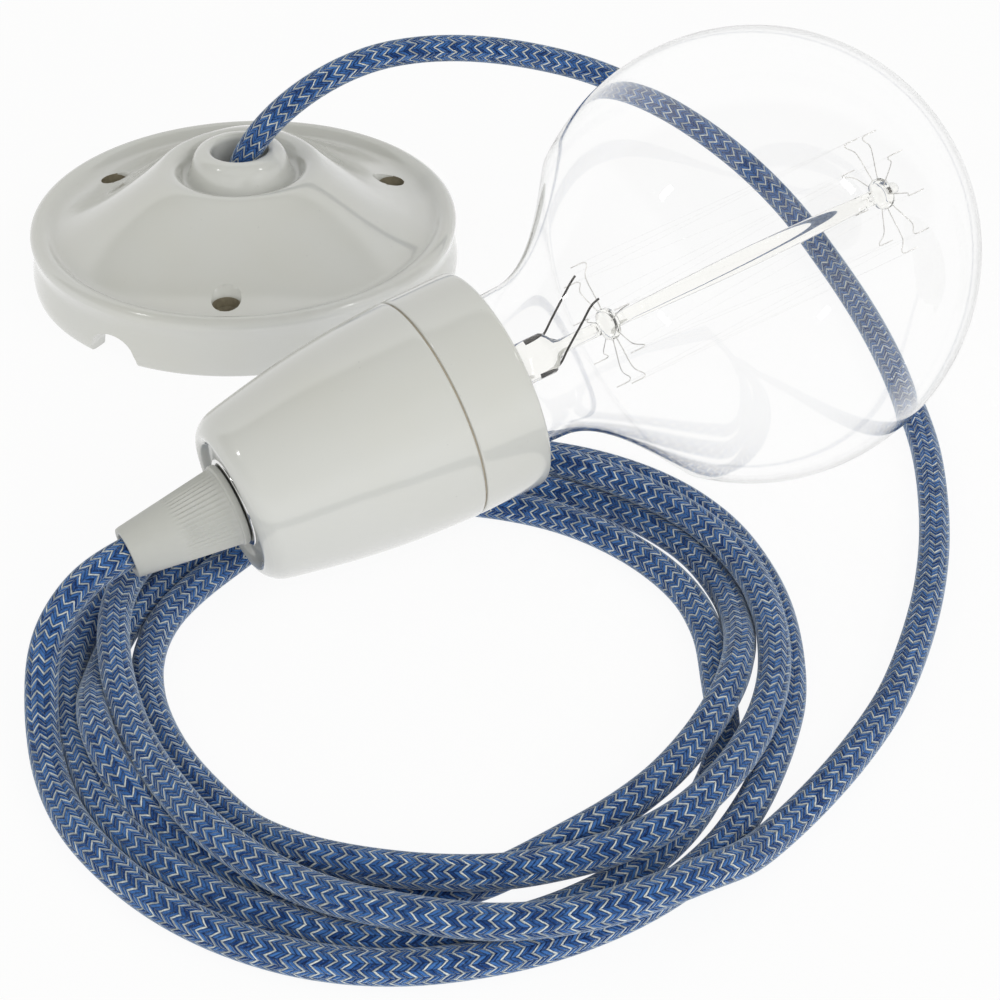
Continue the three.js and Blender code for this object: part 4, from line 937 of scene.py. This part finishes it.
def make_stem():
    """The stem's sections, one ring of corners to each stop of its outline."""
    stops = stem_outline()
    segments = 48
    corners, faces = [], []
    for radius, height, flat in stops:
        for k in range(segments):
            angle = 2 * math.pi * k / segments
            reach = stem_section(radius, flat, angle)
            corners.append((reach * math.cos(angle), reach * math.sin(angle), height))
    for j in range(len(stops) - 1):
        for k in range(segments):
            n = (k + 1) % segments
            a, b = j * segments, (j + 1) * segments
            faces.append((a + k, b + k, b + n, a + n))
    last = (len(stops) - 1) * segments
    faces.append(tuple(range(segments)))
    faces.append(tuple(range(last, last + segments))[::-1])
    # The stem's glass is painted dark grey where seen edge on: a painted shade for its outlines.
    stem_glass = clear_glass(
        "stem_glass", (0.99, 0.985, 0.955), gleam=0.6, refraction=1.5, edge=(0.42, 0.42, 0.40), edge_from=0.45,
    )
    corners = [into_lamp @ Vector(c) for c in corners]
    stem = make_piece("glass_stem", corners, faces, stem_glass, sharp=60)
    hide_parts("bulb_stem")


make_stem()

# The cage: two rows of drawn wire hooks melted into the buttons, each with a
# small Z at its end, two dark lead wires up from the press, and the filament,
# one wire thinner than a hair that runs to and fro between the rows.
hook_count, hook_radius, cage_radius = 9, 0.12, 13.6
lead_radius, filament_radius = 0.24, 0.009
hook_step = 2 * math.pi / hook_count


def in_cage(angle, radius, height):
    """A place in the lamp, round its axis and along it."""
    return Vector((radius * math.cos(angle), radius * math.sin(angle), height))


def bent_wire(stops):
    """The middle line of a wire that is bent through its stops in the lamp."""
    return smooth_line([into_lamp @ stop for stop in stops], spacing=0.4)


def wire_piece(name, lines, radius, sides, finish, slot, *nodes):
    """One piece of several round wires."""
    corners, faces = [], []
    for line in lines:
        wire_corners, wire_faces = tube_round(line, radius, sides)
        first = len(corners)
        corners += wire_corners
        faces += [tuple(v + first for v in face) for face in wire_faces]
    piece = make_piece(name, corners, faces, finish, sharp=70)
    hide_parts(*nodes)


def hook_wire(angle, middle, away):
    """Out of its button, out to the cage, and through the small Z to its tip."""
    kink = middle - away * 1.6
    return bent_wire([
        in_cage(angle, 2.6, middle),
        in_cage(angle, 4.5, middle),
        in_cage(angle, cage_radius - 2.9, middle + away * 0.3),
        in_cage(angle, cage_radius - 2.2, middle + away * 0.1),
        in_cage(angle, cage_radius - 0.6, kink + away * 0.2),
        in_cage(angle, cage_radius - 0.05, kink + away * 0.3),
        in_cage(angle, cage_radius, kink + away * 1.2),
        in_cage(angle, cage_radius, kink + away * 4),
    ])


cage_wire = worked_metal("drawn_wire", (0.82, 0.81, 0.78), 0.4)
far_row = [hook_wire(cage_turn + hook_step * (i + 0.5), far_button, -1) for i in range(hook_count)]
near_row = [hook_wire(cage_turn + hook_step * i, near_button, 1) for i in range(1, hook_count)]
far_nodes = [f"far_hook_{i + 1}" for i in range(hook_count)]
near_nodes = [f"near_hook_{i}" for i in range(1, hook_count)]
wire_piece("far_hooks", far_row, hook_radius, 8, cage_wire, "cage_wire", *far_nodes)
wire_piece("near_hooks", near_row, hook_radius, 8, cage_wire, "cage_wire", *near_nodes)

lead_spread = hook_step * 0.56
lead_end_radius, lead_end = cage_radius - 1.2, near_button + 3.5
lead_wires = []
for side in (-1, 1):
    foot = press_turn + (math.pi if side < 0 else 0)
    end = cage_turn + side * lead_spread
    out_of_press = in_cage(foot, 3.5, press_start - 0.2)
    tip = in_cage(end, lead_end_radius - 0.9, lead_end + 1.4)
    lead_wires.append(bent_wire([
        in_cage(foot, 3.2, press_start + 4),
        in_cage(foot, 3.3, press_start + 1.2),
        *(out_of_press.lerp(tip, t) for t in (0, 0.3, 0.7, 1)),
        in_cage(end, lead_end_radius, lead_end),
    ]))
lead_metal = worked_metal("lead_wire", (0.10, 0.095, 0.09), 0.45)
wire_piece("lead_wires", lead_wires, lead_radius, 10, lead_metal, "lead_metal", "lead_wire_1", "lead_wire_2")

over_hooks = cage_radius + hook_radius
filament_stops = [in_cage(cage_turn + lead_spread, lead_end_radius + 0.4, lead_end - 0.3)]
for i in range(hook_count):
    filament_stops.append(in_cage(cage_turn + hook_step * (i + 0.5), over_hooks, far_button - 0.8))
    if i < hook_count - 1:
        filament_stops.append(in_cage(cage_turn + hook_step * (i + 1), over_hooks, near_button + 0.8))
filament_stops.append(in_cage(cage_turn - lead_spread, lead_end_radius + 0.4, lead_end - 0.3))
filament_runs = [
    np.array([into_lamp @ near.lerp(far, t) for t in np.linspace(0, 1, 12)])
    for near, far in zip(filament_stops, filament_stops[1:])
]
tungsten = worked_metal("tungsten", (0.62, 0.61, 0.59), 0.3)
wire_piece("filament_wire", filament_runs, filament_radius, 5, tungsten, "tungsten", "filament")
